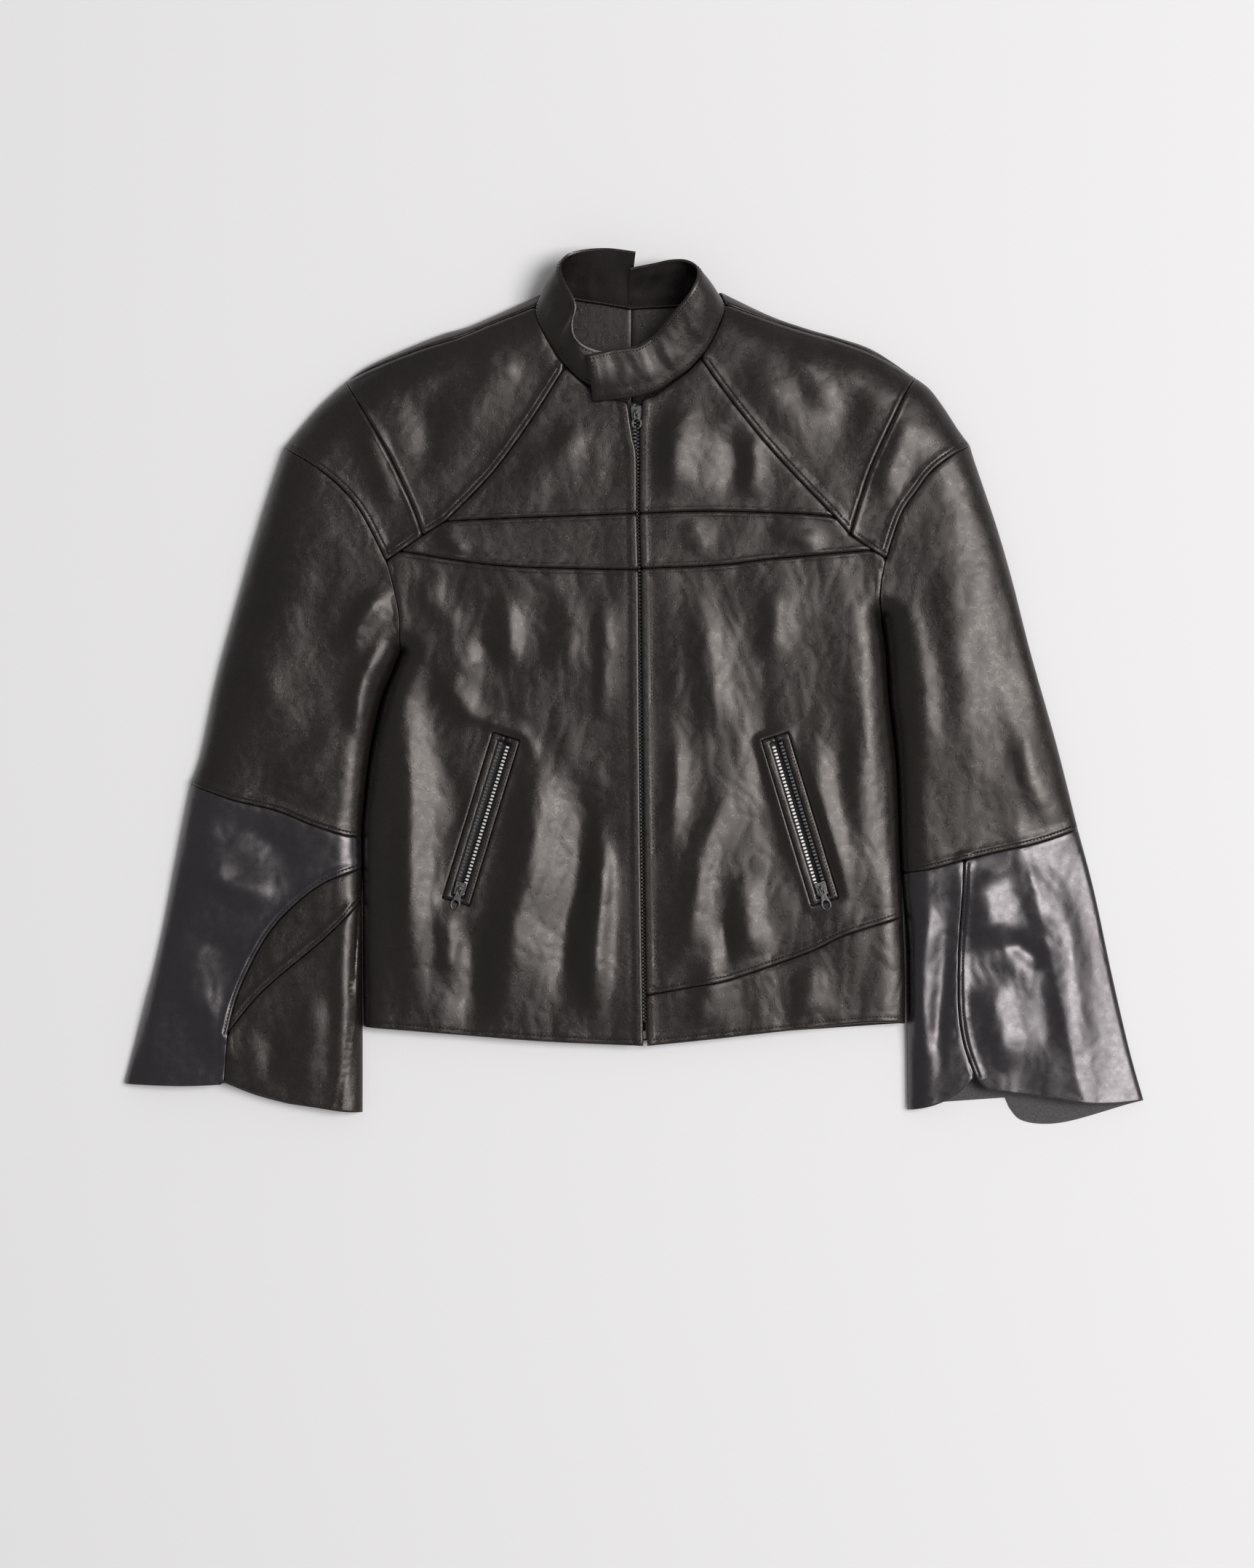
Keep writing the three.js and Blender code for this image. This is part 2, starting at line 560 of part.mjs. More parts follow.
// Front zip: closed, its slider at the top, under the two front edges.
const frontZip = frontFrame(ZIP_TOP.x, ZIP_TOP.y, zipSideways);
const ZIP_LENGTH = ZIP_TOP.y - ZIP_BOTTOM.y;
const FRONT_ROW_TOP = -3.5;
const FRONT_ROW_INNER = 0.8;
const CHAIN_BOTTOM = -ZIP_LENGTH + 22;
const SHOWN_TEETH = -46; // the rows are toothed down to here, where the front edges hide them
const TAPE_WIDTH = 14;
const TAPE_BOTTOM = -ZIP_LENGTH + 6;
const SLIDER_Y = -9;
const FACING = { inner: 8, outer: 42, upper: -8, bottom: -7, top: -5.8 };
const PIN = { inner: 0.9, outer: 2.9, length: 8, clearance: 0.3 };
const BOX = { half: 3, length: 7, bottom: -5.8, top: -3.2 };
const between = (side, inner, outer) => [side * inner, side * outer].sort((a, b) => a - b);

for (const [name, side] of [['right', -1], ['left', 1]]) {
  const row = toothRow(side, FRONT_ROW_INNER, 0, CHAIN_BOTTOM, FRONT_ROW_TOP, SHOWN_TEETH);
  add(`front_zip_${name}_teeth`, row, gunmetal, frontZip);
  const tapeInner = FRONT_ROW_INNER + ROW_WIDTH + TAPE_FROM_ROW;
  const tape = tapeStrip(side, tapeInner, TAPE_WIDTH, 0, TAPE_BOTTOM, FRONT_ROW_TOP);
  add(`front_zip_${name}_tape`, tape, tapeCloth, frontZip);
  const across = between(side, FACING.inner, FACING.outer);
  const facing = block(...across, TAPE_BOTTOM, FACING.upper, FACING.bottom, FACING.top);
  add(`${name}_front_facing`, facing, lining, frontZip);
}
const pinTop = CHAIN_BOTTOM - PIN.clearance;
const pinBottom = pinTop - PIN.length;
const pin = block(PIN.inner, PIN.outer, pinBottom, pinTop, FRONT_ROW_TOP - ROW_HEIGHT, FRONT_ROW_TOP);
add('front_zip_pin', pin, gunmetal, frontZip);
const boxTop = pinBottom - PIN.clearance;
const zipBox = block(-BOX.half, BOX.half, boxTop - BOX.length, boxTop, BOX.bottom, BOX.top);
add('front_zip_box', zipBox, gunmetal, frontZip);
addSlider('front', frontZip, SLIDER_Y, -1.9, FRONT_ROW_TOP, 0.4, 15);

// Pocket zips: open, the sliders at the bottom and the rows apart.
const POCKET_ROW_TOP = -1.4;
const POCKET_ROW_INNER = 2;
const BAG = { wall: 1, depth: 7.2, top: -5.2, reach: 70, outwards: 12, below: 25, above: 4 };

function welt(side) {
  const [half, mouth] = [POCKET_WIDTH / 2 - SEAM_GAP, POCKET_MOUTH / 2];
  const end = POCKET_LENGTH / 2 - SEAM_GAP;
  const points = [
    [0.2, end], [half, end], [half, -end], [0.2, -end], [0.2, POCKET_END - end],
    [mouth, POCKET_END - end], [mouth, end - POCKET_END], [0.2, end - POCKET_END],
  ];
  const shape = points.map(([x, y]) => new THREE.Vector2(side * x, y));
  return prism(shape, -LEATHER, 0);
}

// The bag reaches from the pocket mouth towards the front zip, and is open at the mouth.
function pocketBag(towardsZip) {
  const sides = (wall) => [towardsZip * (BAG.reach - wall), -towardsZip * (BAG.outwards - wall)]
    .sort((a, b) => a - b);
  const [low, high] = [-POCKET_LENGTH / 2 - BAG.below, POCKET_LENGTH / 2 + BAG.above];
  const floor = BAG.top - BAG.depth;
  const outside = toSolid(block(...sides(0), low, high, floor, BAG.top));
  const inside = toSolid(block(
    ...sides(BAG.wall), low + BAG.wall, high - BAG.wall, floor + BAG.wall, BAG.top - BAG.wall,
  ));
  const mouthEnd = POCKET_LENGTH / 2 - POCKET_END;
  const mouth = toSolid(block(-5, 5, -mouthEnd, mouthEnd, BAG.top - 2 * BAG.wall, BAG.top + 1));
  return toGeometry(outside.subtract(inside.add(mouth)));
}

for (const [name, bodySide] of [['right', -1], ['left', 1]]) {
  const frame = pocketFrames[name];
  const reach = POCKET_LENGTH / 2 - POCKET_END;
  for (const [place, side] of [['inner', -bodySide], ['outer', bodySide]]) {
    const rowEnd = reach - 1;
    const row = toothRow(side, POCKET_ROW_INNER, rowEnd, -rowEnd, POCKET_ROW_TOP, -rowEnd);
    const tapeInner = POCKET_ROW_INNER + ROW_WIDTH + TAPE_FROM_ROW;
    const tape = tapeStrip(side, tapeInner, 12, reach + 3, -reach - 3, POCKET_ROW_TOP);
    const metal = place === 'inner' ? brightMetal : gunmetal;
    add(`${name}_pocket_${place}_welt`, welt(side), grained, frame);
    add(`${name}_pocket_${place}_teeth`, row, metal, frame);
    add(`${name}_pocket_${place}_tape`, tape, tapeCloth, frame);
  }
  add(`${name}_pocket_bag`, pocketBag(-bodySide), lining, frame);
  addSlider(`${name}_pocket`, frame, SLIDER_LENGTH / 2 - reach + 1, 0.4, POCKET_ROW_TOP, 1.2, 20);
}

// ---- Collar: each half is a band between a lower and an upper curve ----
const RIGHT_BASE = [
  [-5, 346, 3], [-55, 353, 3.5], [-84, 351, 8], [-87, 338, 14], [-82, 324, 19],
  [-64, 292, 27], [-41, 275, 28], [-20, 264, 28], [0, 260, 28],
];
const RIGHT_TOP = [
  [1, 394, 28], [-50, 396, 31], [-65, 385, 42], [-62, 364, 50], [-54, 345, 52],
  [-55, 322, 51], [-42, 308, 42], [-24, 304, 38], [1, 306, 35],
];
const LEFT_BASE = [
  [26, 272, 31], [47, 288, 29], [60, 301, 26], [75, 331, 18], [77, 348, 12], [71, 354, 7],
  [42, 346, 4], [-3, 344, 3],
];
const LEFT_TOP = [
  [18, 317, 43], [24, 324, 45], [35, 337, 49], [50, 356, 52], [56, 368, 49], [57, 380, 40],
  [42, 389, 28], [4, 382, 24],
];
const TAB_BASE = [[-37, 258, 33], [-15, 259, 33], [5, 263, 33], [25.4, 271.6, 31.2]];
const TAB_TOP = [[-43, 299, 47], [-17, 305, 44], [4, 308, 43], [17.4, 316.6, 43.2]];

const curve3 = (points) => new THREE.CatmullRomCurve3(points.map((one) => new THREE.Vector3(...one)));

function band(base, top) {
  const lower = curve3(base);
  const upper = curve3(top);
  const at = (u, v) => lower.getPoint(u).lerp(upper.getPoint(u), v);
  const normal = (u) => {
    const along = lower.getTangent(u).add(upper.getTangent(u));
    const upwards = upper.getPoint(u).sub(lower.getPoint(u));
    return along.cross(upwards).normalize();
  };
  return { at, normal };
}

function addBand(name, surface, columns) {
  const place = (column, row) => surface.at(column / columns, row / 2);
  const under = (column) => surface.normal(column / columns).multiplyScalar(-LEATHER);
  add(name, bentSheet(place, columns, 2, under), grained);
}

const rightCollar = band(RIGHT_BASE, RIGHT_TOP);
const tab = band(TAB_BASE, TAB_TOP);
addBand('collar_right_half', rightCollar, 16);
addBand('collar_left_half', band(LEFT_BASE, LEFT_TOP), 14);
addBand('collar_tab', tab, 6);

// The snap that holds the tab: the stud under the tab, the socket on the half below it.
function addSnap(name, point, normal, distance) {
  const disc = new THREE.CylinderGeometry(SNAP_RADIUS, SNAP_RADIUS, SNAP_HEIGHT, 16);
  const towards = new THREE.Quaternion().setFromUnitVectors(new THREE.Vector3(0, 1, 0), normal);
  const centre = point.addScaledVector(normal, distance);
  add(name, disc.applyQuaternion(towards).translate(centre.x, centre.y, centre.z), brightMetal);
}

addSnap('snap_stud', tab.at(0.3, 0.55), tab.normal(0.3), -LEATHER - 0.3 - SNAP_HEIGHT / 2);
addSnap('snap_socket', rightCollar.at(0.87, 0.45), rightCollar.normal(0.87), 0.3 + SNAP_HEIGHT / 2);

export default jacket;
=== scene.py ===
"""The looks of a leather jacket laid flat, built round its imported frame.

Lengths are in millimetres up to the point where a mesh is made, and MM turns them into metres.
+X is the wearer's left, +Y points to the collar and +Z is up.
"""

import json
import math

import bpy
import numpy as np
from mathutils import Matrix, Vector, noise
from mathutils.geometry import delaunay_2d_cdt

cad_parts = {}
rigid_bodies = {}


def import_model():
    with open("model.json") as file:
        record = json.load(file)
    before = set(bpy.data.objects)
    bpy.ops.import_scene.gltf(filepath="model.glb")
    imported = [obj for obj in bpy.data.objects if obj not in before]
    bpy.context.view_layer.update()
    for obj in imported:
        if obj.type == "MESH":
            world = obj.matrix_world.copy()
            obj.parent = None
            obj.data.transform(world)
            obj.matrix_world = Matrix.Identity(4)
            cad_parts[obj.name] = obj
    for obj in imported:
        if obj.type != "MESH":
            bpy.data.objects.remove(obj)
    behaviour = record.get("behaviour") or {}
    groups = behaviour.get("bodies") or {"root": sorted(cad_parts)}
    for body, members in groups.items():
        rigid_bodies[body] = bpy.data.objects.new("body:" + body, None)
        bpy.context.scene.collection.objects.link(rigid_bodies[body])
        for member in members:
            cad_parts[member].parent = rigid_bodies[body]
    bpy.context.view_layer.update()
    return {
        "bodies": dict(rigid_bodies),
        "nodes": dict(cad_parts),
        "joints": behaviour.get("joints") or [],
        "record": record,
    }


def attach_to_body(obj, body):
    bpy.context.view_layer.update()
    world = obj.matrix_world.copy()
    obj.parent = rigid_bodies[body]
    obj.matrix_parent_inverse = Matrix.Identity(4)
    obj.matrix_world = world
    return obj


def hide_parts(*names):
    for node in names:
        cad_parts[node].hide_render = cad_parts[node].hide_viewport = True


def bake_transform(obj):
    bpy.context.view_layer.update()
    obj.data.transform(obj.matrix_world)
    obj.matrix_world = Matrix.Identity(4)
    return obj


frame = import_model()
MM = 0.001

# ---- Driving dimensions ----
LEATHER = 1.2  # thickness of the leather
EDGE_HEIGHT = 1.7  # top of the front layer where it folds round to the back
OUTER_ROLL = 42  # width over which the front layer rises from an outer fold
INNER_ROLL = 24  # the same where a sleeve lies beside the body
ZIP_TOP = (1.5, 258.0)
ZIP_BOTTOM = (9.5, -325.0)
HEIGHT_AT_ZIP = (28.0, 18.0)  # of the front layer at the top and the bottom of the zip
FRONT_SLOPE = (HEIGHT_AT_ZIP[0] - HEIGHT_AT_ZIP[1]) / (ZIP_TOP[1] - ZIP_BOTTOM[1])
STEP = 2.8  # spacing of points along a seam
GRID = 3.2  # spacing of points inside a panel
RINGS = (0.45, 1.1, 2.0, 3.2, 4.0, 4.6, 5.4, 6.6)  # distances from a seam that have points
HOLE_RINGS = (1.0, 2.2, 3.4, 4.6)  # the same round a hole
HOLE_MARGIN = 6  # the evenly spaced points start this far from a hole
STITCH_PITCH = 3.3
STITCH_LENGTH = 2.4
STITCH_RADIUS = 0.54

POCKET_LENGTH = 157
POCKET_WIDTH = 25.5
POCKET_MOUTH = 11.5
POCKET_TILT = math.radians(17)
POCKET_X = 144.5
POCKET_Y = -119
BODY_MIDDLE = 5.5
TOOTH_PITCH = 3.3

# ---- Camera, straight down ----
VIEW_CENTRE = (-6.9, -87.1)
VIEW_HEIGHT = 1423  # of the whole picture, at the jacket
LENS = 85
SENSOR = 36


def make_camera():
    data = bpy.data.cameras.new("camera")
    data.lens = LENS
    data.sensor_width = SENSOR
    camera = bpy.data.objects.new("camera", data)
    bpy.context.scene.collection.objects.link(camera)
    distance = VIEW_HEIGHT * LENS / SENSOR + HEIGHT_AT_ZIP[1]
    camera.location = (VIEW_CENTRE[0] * MM, VIEW_CENTRE[1] * MM, distance * MM)
    bpy.context.scene.camera = camera


make_camera()

# ---- Seams, as the few points that each curve passes through ----
RIGHT = {
    "shoulder_fold": [(-86, 359), (-146, 332), (-175, 323), (-210, 309), (-242, 294), (-263, 279)],
    "cap_fold": [(-263, 279), (-284, 260), (-302, 240), (-319, 219)],
    "shoulder_seam": [(-90, 346), (-134, 329), (-163, 317), (-196, 307), (-240, 290), (-263, 279)],
    "cap_seam": [(-263, 279), (-249, 256), (-223, 212), (-201, 164), (-192, 138)],
    "raglan_upper": [(-63, 290), (-95, 240), (-130, 193), (-171, 151)],
    "raglan_lower": [(-171, 151), (-192, 138)],
    "raglan_end": [(-192, 138), (-212, 124)],
    "raglan_tip": [(-212, 124), (-225, 115)],
    "neck": [(-6.5, 259), (-25, 263.5), (-43, 273), (-63, 290)],
    "neck_side": [(-63, 290), (-76, 310), (-85, 328), (-90, 346)],
    "armhole_upper": [(-319, 219), (-293, 203), (-272, 187), (-254, 168), (-242, 149), (-225, 115)],
    "armhole_lower": [(-225, 115), (-219, 92), (-214, 66), (-213, 33)],
    "band_top": [(-171, 151), (-104, 154), (-48, 156), (1.8, 158)],
    "band_bottom": [(-212, 124), (-166, 116.5), (-113, 110), (-48, 108), (3.4, 107)],
    "side": [(-213, 33), (-221, 13), (-231, -14), (-241, -62), (-247, -115), (-248, -135)],
    "side_lower": [(-248, -135), (-248, -237), (-247, -308)],
    "hem": [(-247, -308), (-171, -314), (-82, -321), (8, -325)],
    "outer": [(-319, 219), (-323, 207), (-340, 154), (-361, 80), (-380, 9), (-394, -58), (-404, -87)],
    "cuff_seam": [(-248, -135), (-262, -134), (-291, -125), (-326, -111), (-367, -101), (-404, -87)],
    "cuff_inner_top": [(-248, -135), (-248, -164)],
    "crescent_top": [(-248, -164), (-280, -176), (-304, -193), (-326, -215), (-343, -241), (-360, -278),
                     (-369, -313)],
    "cuff_inner_mid": [(-248, -164), (-249, -195)],
    "crescent_bottom": [(-249, -195), (-280, -226), (-324, -263), (-346, -284), (-369, -313)],
    "cuff_inner_low": [(-249, -195), (-248, -309), (-248, -386)],
    "slit": [(-369, -313), (-373, -358)],
    "cuff_hem_inner": [(-248, -386), (-271, -384), (-315, -376), (-345, -367), (-373, -358)],
    "cuff_hem_outer": [(-373, -360), (-411, -361.5), (-464.5, -360)],
    "cuff_outer": [(-404, -87), (-418, -160), (-433, -237), (-449, -301), (-464.5, -360)],
    "front_edge_top": [(1.8, 158), (1.6, 209), (-1.6, 226), (-4.4, 244), (-6.5, 259)],
    "front_edge_band": [(3.4, 107), (1.8, 158)],
    "front_edge_low": [(8, -325), (5.2, -120), (3.4, 107)],
}

LEFT = {
    "shoulder_fold": [(79, 361), (123, 340), (157, 328), (188, 319), (218, 308), (256, 283)],
    "cap_fold": [(256, 283), (269, 273), (282, 256), (295, 236), (306, 221)],
    "shoulder_seam": [(83, 348), (127, 333), (157, 323.5), (184, 316), (221, 302), (256, 283)],
    "cap_seam": [(256, 283), (244, 264), (216, 205), (205, 173), (195, 139)],
    "raglan_upper": [(60, 298), (89, 258), (127, 212), (181, 155)],
    "raglan_lower": [(181, 155), (195, 139)],
    "raglan_end": [(195, 139), (215, 125)],
    "raglan_tip": [(215, 125), (228, 117)],
    "neck": [(6.5, 261), (19, 265), (33, 275), (48, 286), (60, 298)],
    "neck_side": [(60, 298), (70, 314), (78, 331), (83, 348)],
    "armhole_upper": [(306, 221), (288, 211), (269, 196), (256, 179), (241, 156), (228, 117)],
    "armhole_lower": [(228, 117), (224, 97), (223, 80), (225, 64)],
    "band_top": [(181, 155), (144, 158), (68, 160), (4.2, 158)],
    "band_bottom": [(215, 125), (162, 120), (118, 116), (74, 111), (5.6, 108)],
    "side": [(225, 64), (229, 33), (232, -10), (239, -72), (242, -150), (243, -168)],
    "side_lower": [(243, -168), (244, -208)],
    "side_hem": [(244, -208), (246, -260), (246, -305)],
    "hem": [(246, -305), (210, -304), (123, -313), (71, -319), (11.4, -325)],
    "hem_seam": [(10.6, -279), (54, -271), (89, -264), (158, -240), (192, -224), (244, -208)],
    "outer": [(306, 221), (310, 207), (330, 148), (345, 96), (361, 33), (385, -52), (404, -128)],
    "cuff_seam": [(243, -168), (269, -164), (299, -156)],
    "cuff_seam_outer": [(299, -156), (328, -149), (368, -140), (404, -128)],
    "cuff_middle": [(299, -156), (297, -191), (294, -240), (294, -289), (299, -323), (309, -352)],
    "cuff_inner": [(243, -168), (247, -235), (248, -300), (249, -384)],
    "cuff_hem_inner": [(249, -384), (267, -380.5), (281, -375.5), (295, -367), (309, -352)],
    "cuff_hem_outer": [(309, -352), (320, -364), (336, -367), (368, -371), (407, -377), (436, -378),
                       (464, -375.5)],
    "cuff_outer": [(404, -128), (419, -185), (435, -260), (451, -329), (464, -375.5)],
    "front_edge_top": [(4.2, 158), (4.6, 209), (4.6, 238), (6.2, 247), (6.5, 261)],
    "front_edge_band": [(5.6, 108), (4.2, 158)],
    "front_edge_low": [(10.6, -279), (8.2, -120), (5.6, 108)],
    "front_edge_hem": [(11.4, -325), (10.6, -279)],
}
SEAMS = {"right": RIGHT, "left": LEFT}


def curve(points, step=STEP):
    """Evenly spaced points along the smooth curve through a few points."""
    p = np.array(points, float)
    if len(p) > 2:
        ends = np.vstack([p[:1], p, p[-1:]])
        t = np.linspace(0, 1, 24, endpoint=False)[:, None]
        spans = []
        for i in range(len(p) - 1):
            a, b, c, d = ends[i : i + 4]
            cubic = -0.5 * a + 1.5 * b - 1.5 * c + 0.5 * d
            square = a - 2.5 * b + 2 * c - 0.5 * d
            spans.append(cubic * t**3 + square * t**2 + 0.5 * (c - a) * t + b)
        p = np.vstack([*spans, p[-1:]])
    along = np.concatenate([[0], np.cumsum(np.linalg.norm(np.diff(p, axis=0), axis=1))])
    count = max(1, round(along[-1] / step))
    at = np.linspace(0, along[-1], count + 1)
    return np.stack([np.interp(at, along, p[:, k]) for k in range(p.shape[1])], axis=1)


def seam_points(side, name):
    """A named seam of one side; a minus sign runs it backwards."""
    points = curve(SEAMS[side][name.lstrip("-")])
    return points[::-1] if name.startswith("-") else points


def distance_to(points, line):
    """How far each point is from a line of points."""
    a, b = line[:-1], line[1:]
    along = b - a
    length = np.maximum((along**2).sum(1), 1e-9)
    nearest = np.full(len(points), np.inf)
    for start in range(0, len(points), 3000):
        block = points[start : start + 3000, None, :] - a
        share = np.clip((block * along).sum(2) / length, 0, 1)
        gap = np.sqrt(((block - share[..., None] * along) ** 2).sum(2)).min(1)
        nearest[start : start + 3000] = gap
    return nearest


def nearest_on(points, line):
    """Distance to a short line of points, and the share of its length at which it is nearest."""
    a, along = line[:-1], np.diff(line, axis=0)
    share = ((points[:, None, :] - a) * along).sum(2) / (along**2).sum(1)
    share = np.clip(share, 0, 1)
    gap = np.linalg.norm(points[:, None, :] - a - share[..., None] * along, axis=2)
    best = gap.argmin(1)
    row = np.arange(len(points))
    return gap[row, best], (best + share[row, best]) / len(a)


def inside(points, outline):
    """Which points lie inside a closed outline."""
    a, b = outline, np.roll(outline, -1, axis=0)
    found = np.zeros(len(points), bool)
    for (x0, y0), (x1, y1) in zip(a, b):
        if y0 == y1:
            continue
        crosses = (y0 > points[:, 1]) != (y1 > points[:, 1])
        at = x0 + (points[:, 1] - y0) * (x1 - x0) / (y1 - y0)
        found ^= crosses & (points[:, 0] < at)
    return found


def unit(rows):
    return rows / np.linalg.norm(rows, axis=1)[:, None]


def closed(points):
    """An outline with its first point again at its end."""
    return np.vstack([points, points[:1]])


def smooth(low, high, x):
    """0 at low and 1 at high, with a soft start and end; low may be the larger."""
    t = np.clip((x - low) / (high - low), 0, 1)
    return t * t * (3 - 2 * t)


# ---- Height of the front layer ----
BELOW_HEM = -430


def fold_line(side, *names):
    """The named seams as one line, which goes on straight down past the hem."""
    end = SEAMS[side][names[-1]][-1]
    return np.vstack([*(seam_points(side, name) for name in names), [end, (end[0], BELOW_HEM)]])


OUTER_FOLDS = [fold_line(side, "shoulder_fold", "cap_fold", "outer", "cuff_outer") for side in SEAMS]
INNER_FOLDS = [fold_line("right", "side", "side_lower"), fold_line("left", "side", "cuff_inner")]


def rise(distance, radius):
    share = np.clip(distance / radius, 0, 1)
    return np.sqrt(1 - (1 - share) ** 2)


def front_plane(y):
    return HEIGHT_AT_ZIP[0] + (y - ZIP_TOP[1]) * FRONT_SLOPE


CUFF_RAMP = 54  # the wearer's left cuff slopes evenly down to its outer fold
CUFF_ROLL = 6  # and rolls over at the fold itself
CUFF_ROLL_SHARE = 0.15


def base_height(points):
    outer = np.min([distance_to(points, line) for line in OUTER_FOLDS], axis=0)
    inner = np.min([distance_to(points, line) for line in INNER_FOLDS], axis=0)
    ramped = CUFF_ROLL_SHARE * rise(outer, CUFF_ROLL)
    ramped += (1 - CUFF_ROLL_SHARE) * np.clip(outer / CUFF_RAMP, 0, 1)
    on_cuff = smooth(-90, -170, points[:, 1]) * (points[:, 0] > 0)
    outer_share = rise(outer, OUTER_ROLL) * (1 - on_cuff) + ramped * on_cuff
    share = outer_share * rise(inner, INNER_ROLL)
    return EDGE_HEIGHT + (front_plane(points[:, 1]) - EDGE_HEIGHT) * share


# ---- Folds: curve, half width and height of each ridge or valley that the leather lies in ----
FOLDS = [
    # wearer's right lower front
    ([(-216, 40), (-207, -50), (-204, -130), (-206, -200), (-196, -316)], 18, 8),
    ([(-152, -196), (-146, -250), (-148, -322)], 15, -4.5),
    ([(-96, -36), (-92, -100), (-97, -170), (-112, -230), (-116, -318)], 18, 7),
    ([(-52, -56), (-44, -120), (-50, -170), (-63, -230), (-62, -318)], 13, -4.5),
    ([(-36, -100), (-31, -180), (-36, -250), (-35, -322)], 12, 6),
    ([(-120, 92), (-114, 30), (-120, 0)], 11, 3),
    ([(-146, 52), (-128, 24), (-98, 12)], 14, -3.4),
    ([(-182, 16), (-160, -8), (-140, -40)], 12, 3),
    ([(-158, -22), (-132, -30), (-102, -44), (-84, -70)], 7, 2.2),
    ([(-196, 104), (-176, 70), (-150, 60)], 12, 2.2),
    ([(-66, 96), (-58, 60), (-66, 10)], 13, 2.4),
    ([(-30, 92), (-26, 40), (-30, -40)], 10, 2.4),
    ([(-180, -196), (-168, -230), (-172, -270)], 10, 3),
    # wearer's left lower front
    ([(56, 96), (64, 50), (70, -20), (66, -50)], 15, 4.5),
    ([(88, -84), (70, -124), (56, -180), (46, -262)], 13, 5),
    ([(34, -40), (36, -90), (30, -140)], 10, 3),
    ([(96, -160), (102, -206), (110, -252)], 14, 4.8),
    ([(80, -200), (82, -230), (86, -260)], 8, -3),
    ([(112, 20), (116, -60), (126, -130), (142, -196)], 15, -4),
    ([(158, -30), (170, -100), (186, -170), (176, -214)], 14, 4.5),
    ([(122, 96), (126, 60), (116, 20)], 13, 2.6),
    ([(196, 90), (204, -20), (206, -120), (214, -196)], 15, 4),
    ([(60, -236), (66, -262), (60, -316)], 12, 2.4),
    ([(150, -250), (160, -270), (156, -304)], 14, 2.2),
    # fronts above the band, the band, and shoulders
    ([(-40, 250), (-58, 220), (-96, 186), (-110, 164)], 16, 2.4),
    ([(-14, 236), (-20, 200), (-16, 166)], 9, -1.2),
    ([(26, 262), (40, 236), (34, 200), (42, 168)], 18, 5),
    ([(78, 240), (92, 206), (84, 166)], 13, -2.8),
    ([(100, 232), (106, 206), (100, 172)], 9, 2.4),
    ([(-112, 300), (-140, 262), (-166, 216)], 20, 2.4),
    ([(-140, 314), (-130, 296), (-100, 284)], 11, 2),
    ([(-206, 270), (-190, 236), (-182, 190)], 15, -2.2),
    ([(108, 296), (130, 262), (160, 214)], 18, 2.8),
    ([(144, 312), (160, 280), (184, 246)], 12, 2.6),
    ([(206, 280), (190, 232), (186, 190)], 15, -2.2),
    ([(-250, 254), (-232, 206), (-216, 152)], 11, 3.2),
    ([(244, 262), (240, 220), (216, 156)], 12, 3.2),
    ([(-178, 146), (-166, 134), (-150, 118)], 9, 2.2),
    ([(120, 150), (140, 138), (176, 130)], 9, 1.8),
    ([(40, 152), (60, 136), (54, 114)], 10, 1.8),
    # wearer's right sleeve
    ([(-218, 92), (-236, 76), (-252, 52), (-258, 24)], 10, 4.6),
    ([(-214, 40), (-236, 26), (-250, -10), (-246, -60)], 11, 3.6),
    ([(-300, 196), (-304, 120), (-326, 20), (-338, -84)], 24, 2),
    ([(-262, -20), (-290, -66), (-340, -88)], 14, 1.6),
    ([(-352, 60), (-330, 0), (-300, -30)], 16, 1.4),
    # wearer's left sleeve
    ([(268, 188), (272, 150), (284, 90), (300, -30), (316, -136)], 22, 3.2),
    ([(238, 104), (252, 60), (262, 0), (266, -90)], 12, 3),
    ([(326, 130), (340, 40), (362, -50)], 14, -2),
    ([(344, -10), (360, -80), (380, -130)], 12, 2.6),
    # wearer's right cuff
    ([(-392, -122), (-350, -130), (-318, -150), (-300, -164)], 12, -3),
    ([(-404, -150), (-372, -176), (-344, -186), (-322, -204)], 13, 4),
    ([(-416, -216), (-390, -232), (-352, -246)], 14, -3),
    ([(-424, -262), (-400, -276), (-384, -300), (-376, -350)], 15, 3.6),
    ([(-436, -250), (-442, -310), (-446, -352)], 12, 3),
    ([(-252, -140), (-258, -200), (-262, -262), (-268, -380)], 9, 3),
    ([(-300, -270), (-290, -320), (-300, -374)], 15, 3),
    ([(-340, -300), (-330, -330), (-334, -366)], 12, -2),
    # wearer's left cuff
    ([(312, -158), (320, -200), (332, -240)], 22, 7),
    ([(352, -150), (366, -190), (372, -230)], 15, 3),
    ([(336, -226), (352, -236), (372, -256)], 9, -3.4),
    ([(324, -256), (330, -300), (338, -352)], 16, 4),
    ([(364, -210), (372, -260), (380, -350)], 12, -2),
    ([(380, -150), (394, -220), (402, -300), (408, -384)], 14, 2.4),
    ([(258, -178), (262, -212), (256, -260), (260, -340)], 11, 4.5),
    ([(284, -190), (282, -250), (276, -320), (282, -370)], 8, -3),
]


def fold_height(points):
    """The sum of the folds, each fading out towards its two ends."""
    total = np.zeros(len(points))
    for line, width, height in FOLDS:
        path = curve(line, 12)
        low, high = path.min(0) - 3 * width, path.max(0) + 3 * width
        near = ((points > low) & (points < high)).all(1)
        if not near.any():
            continue
        distance, share = nearest_on(points[near], path)
        fade = smooth(0, 0.35, share) * smooth(1, 0.65, share)
        total[near] += height * fade * np.exp(-((distance / width) ** 2))
    return total


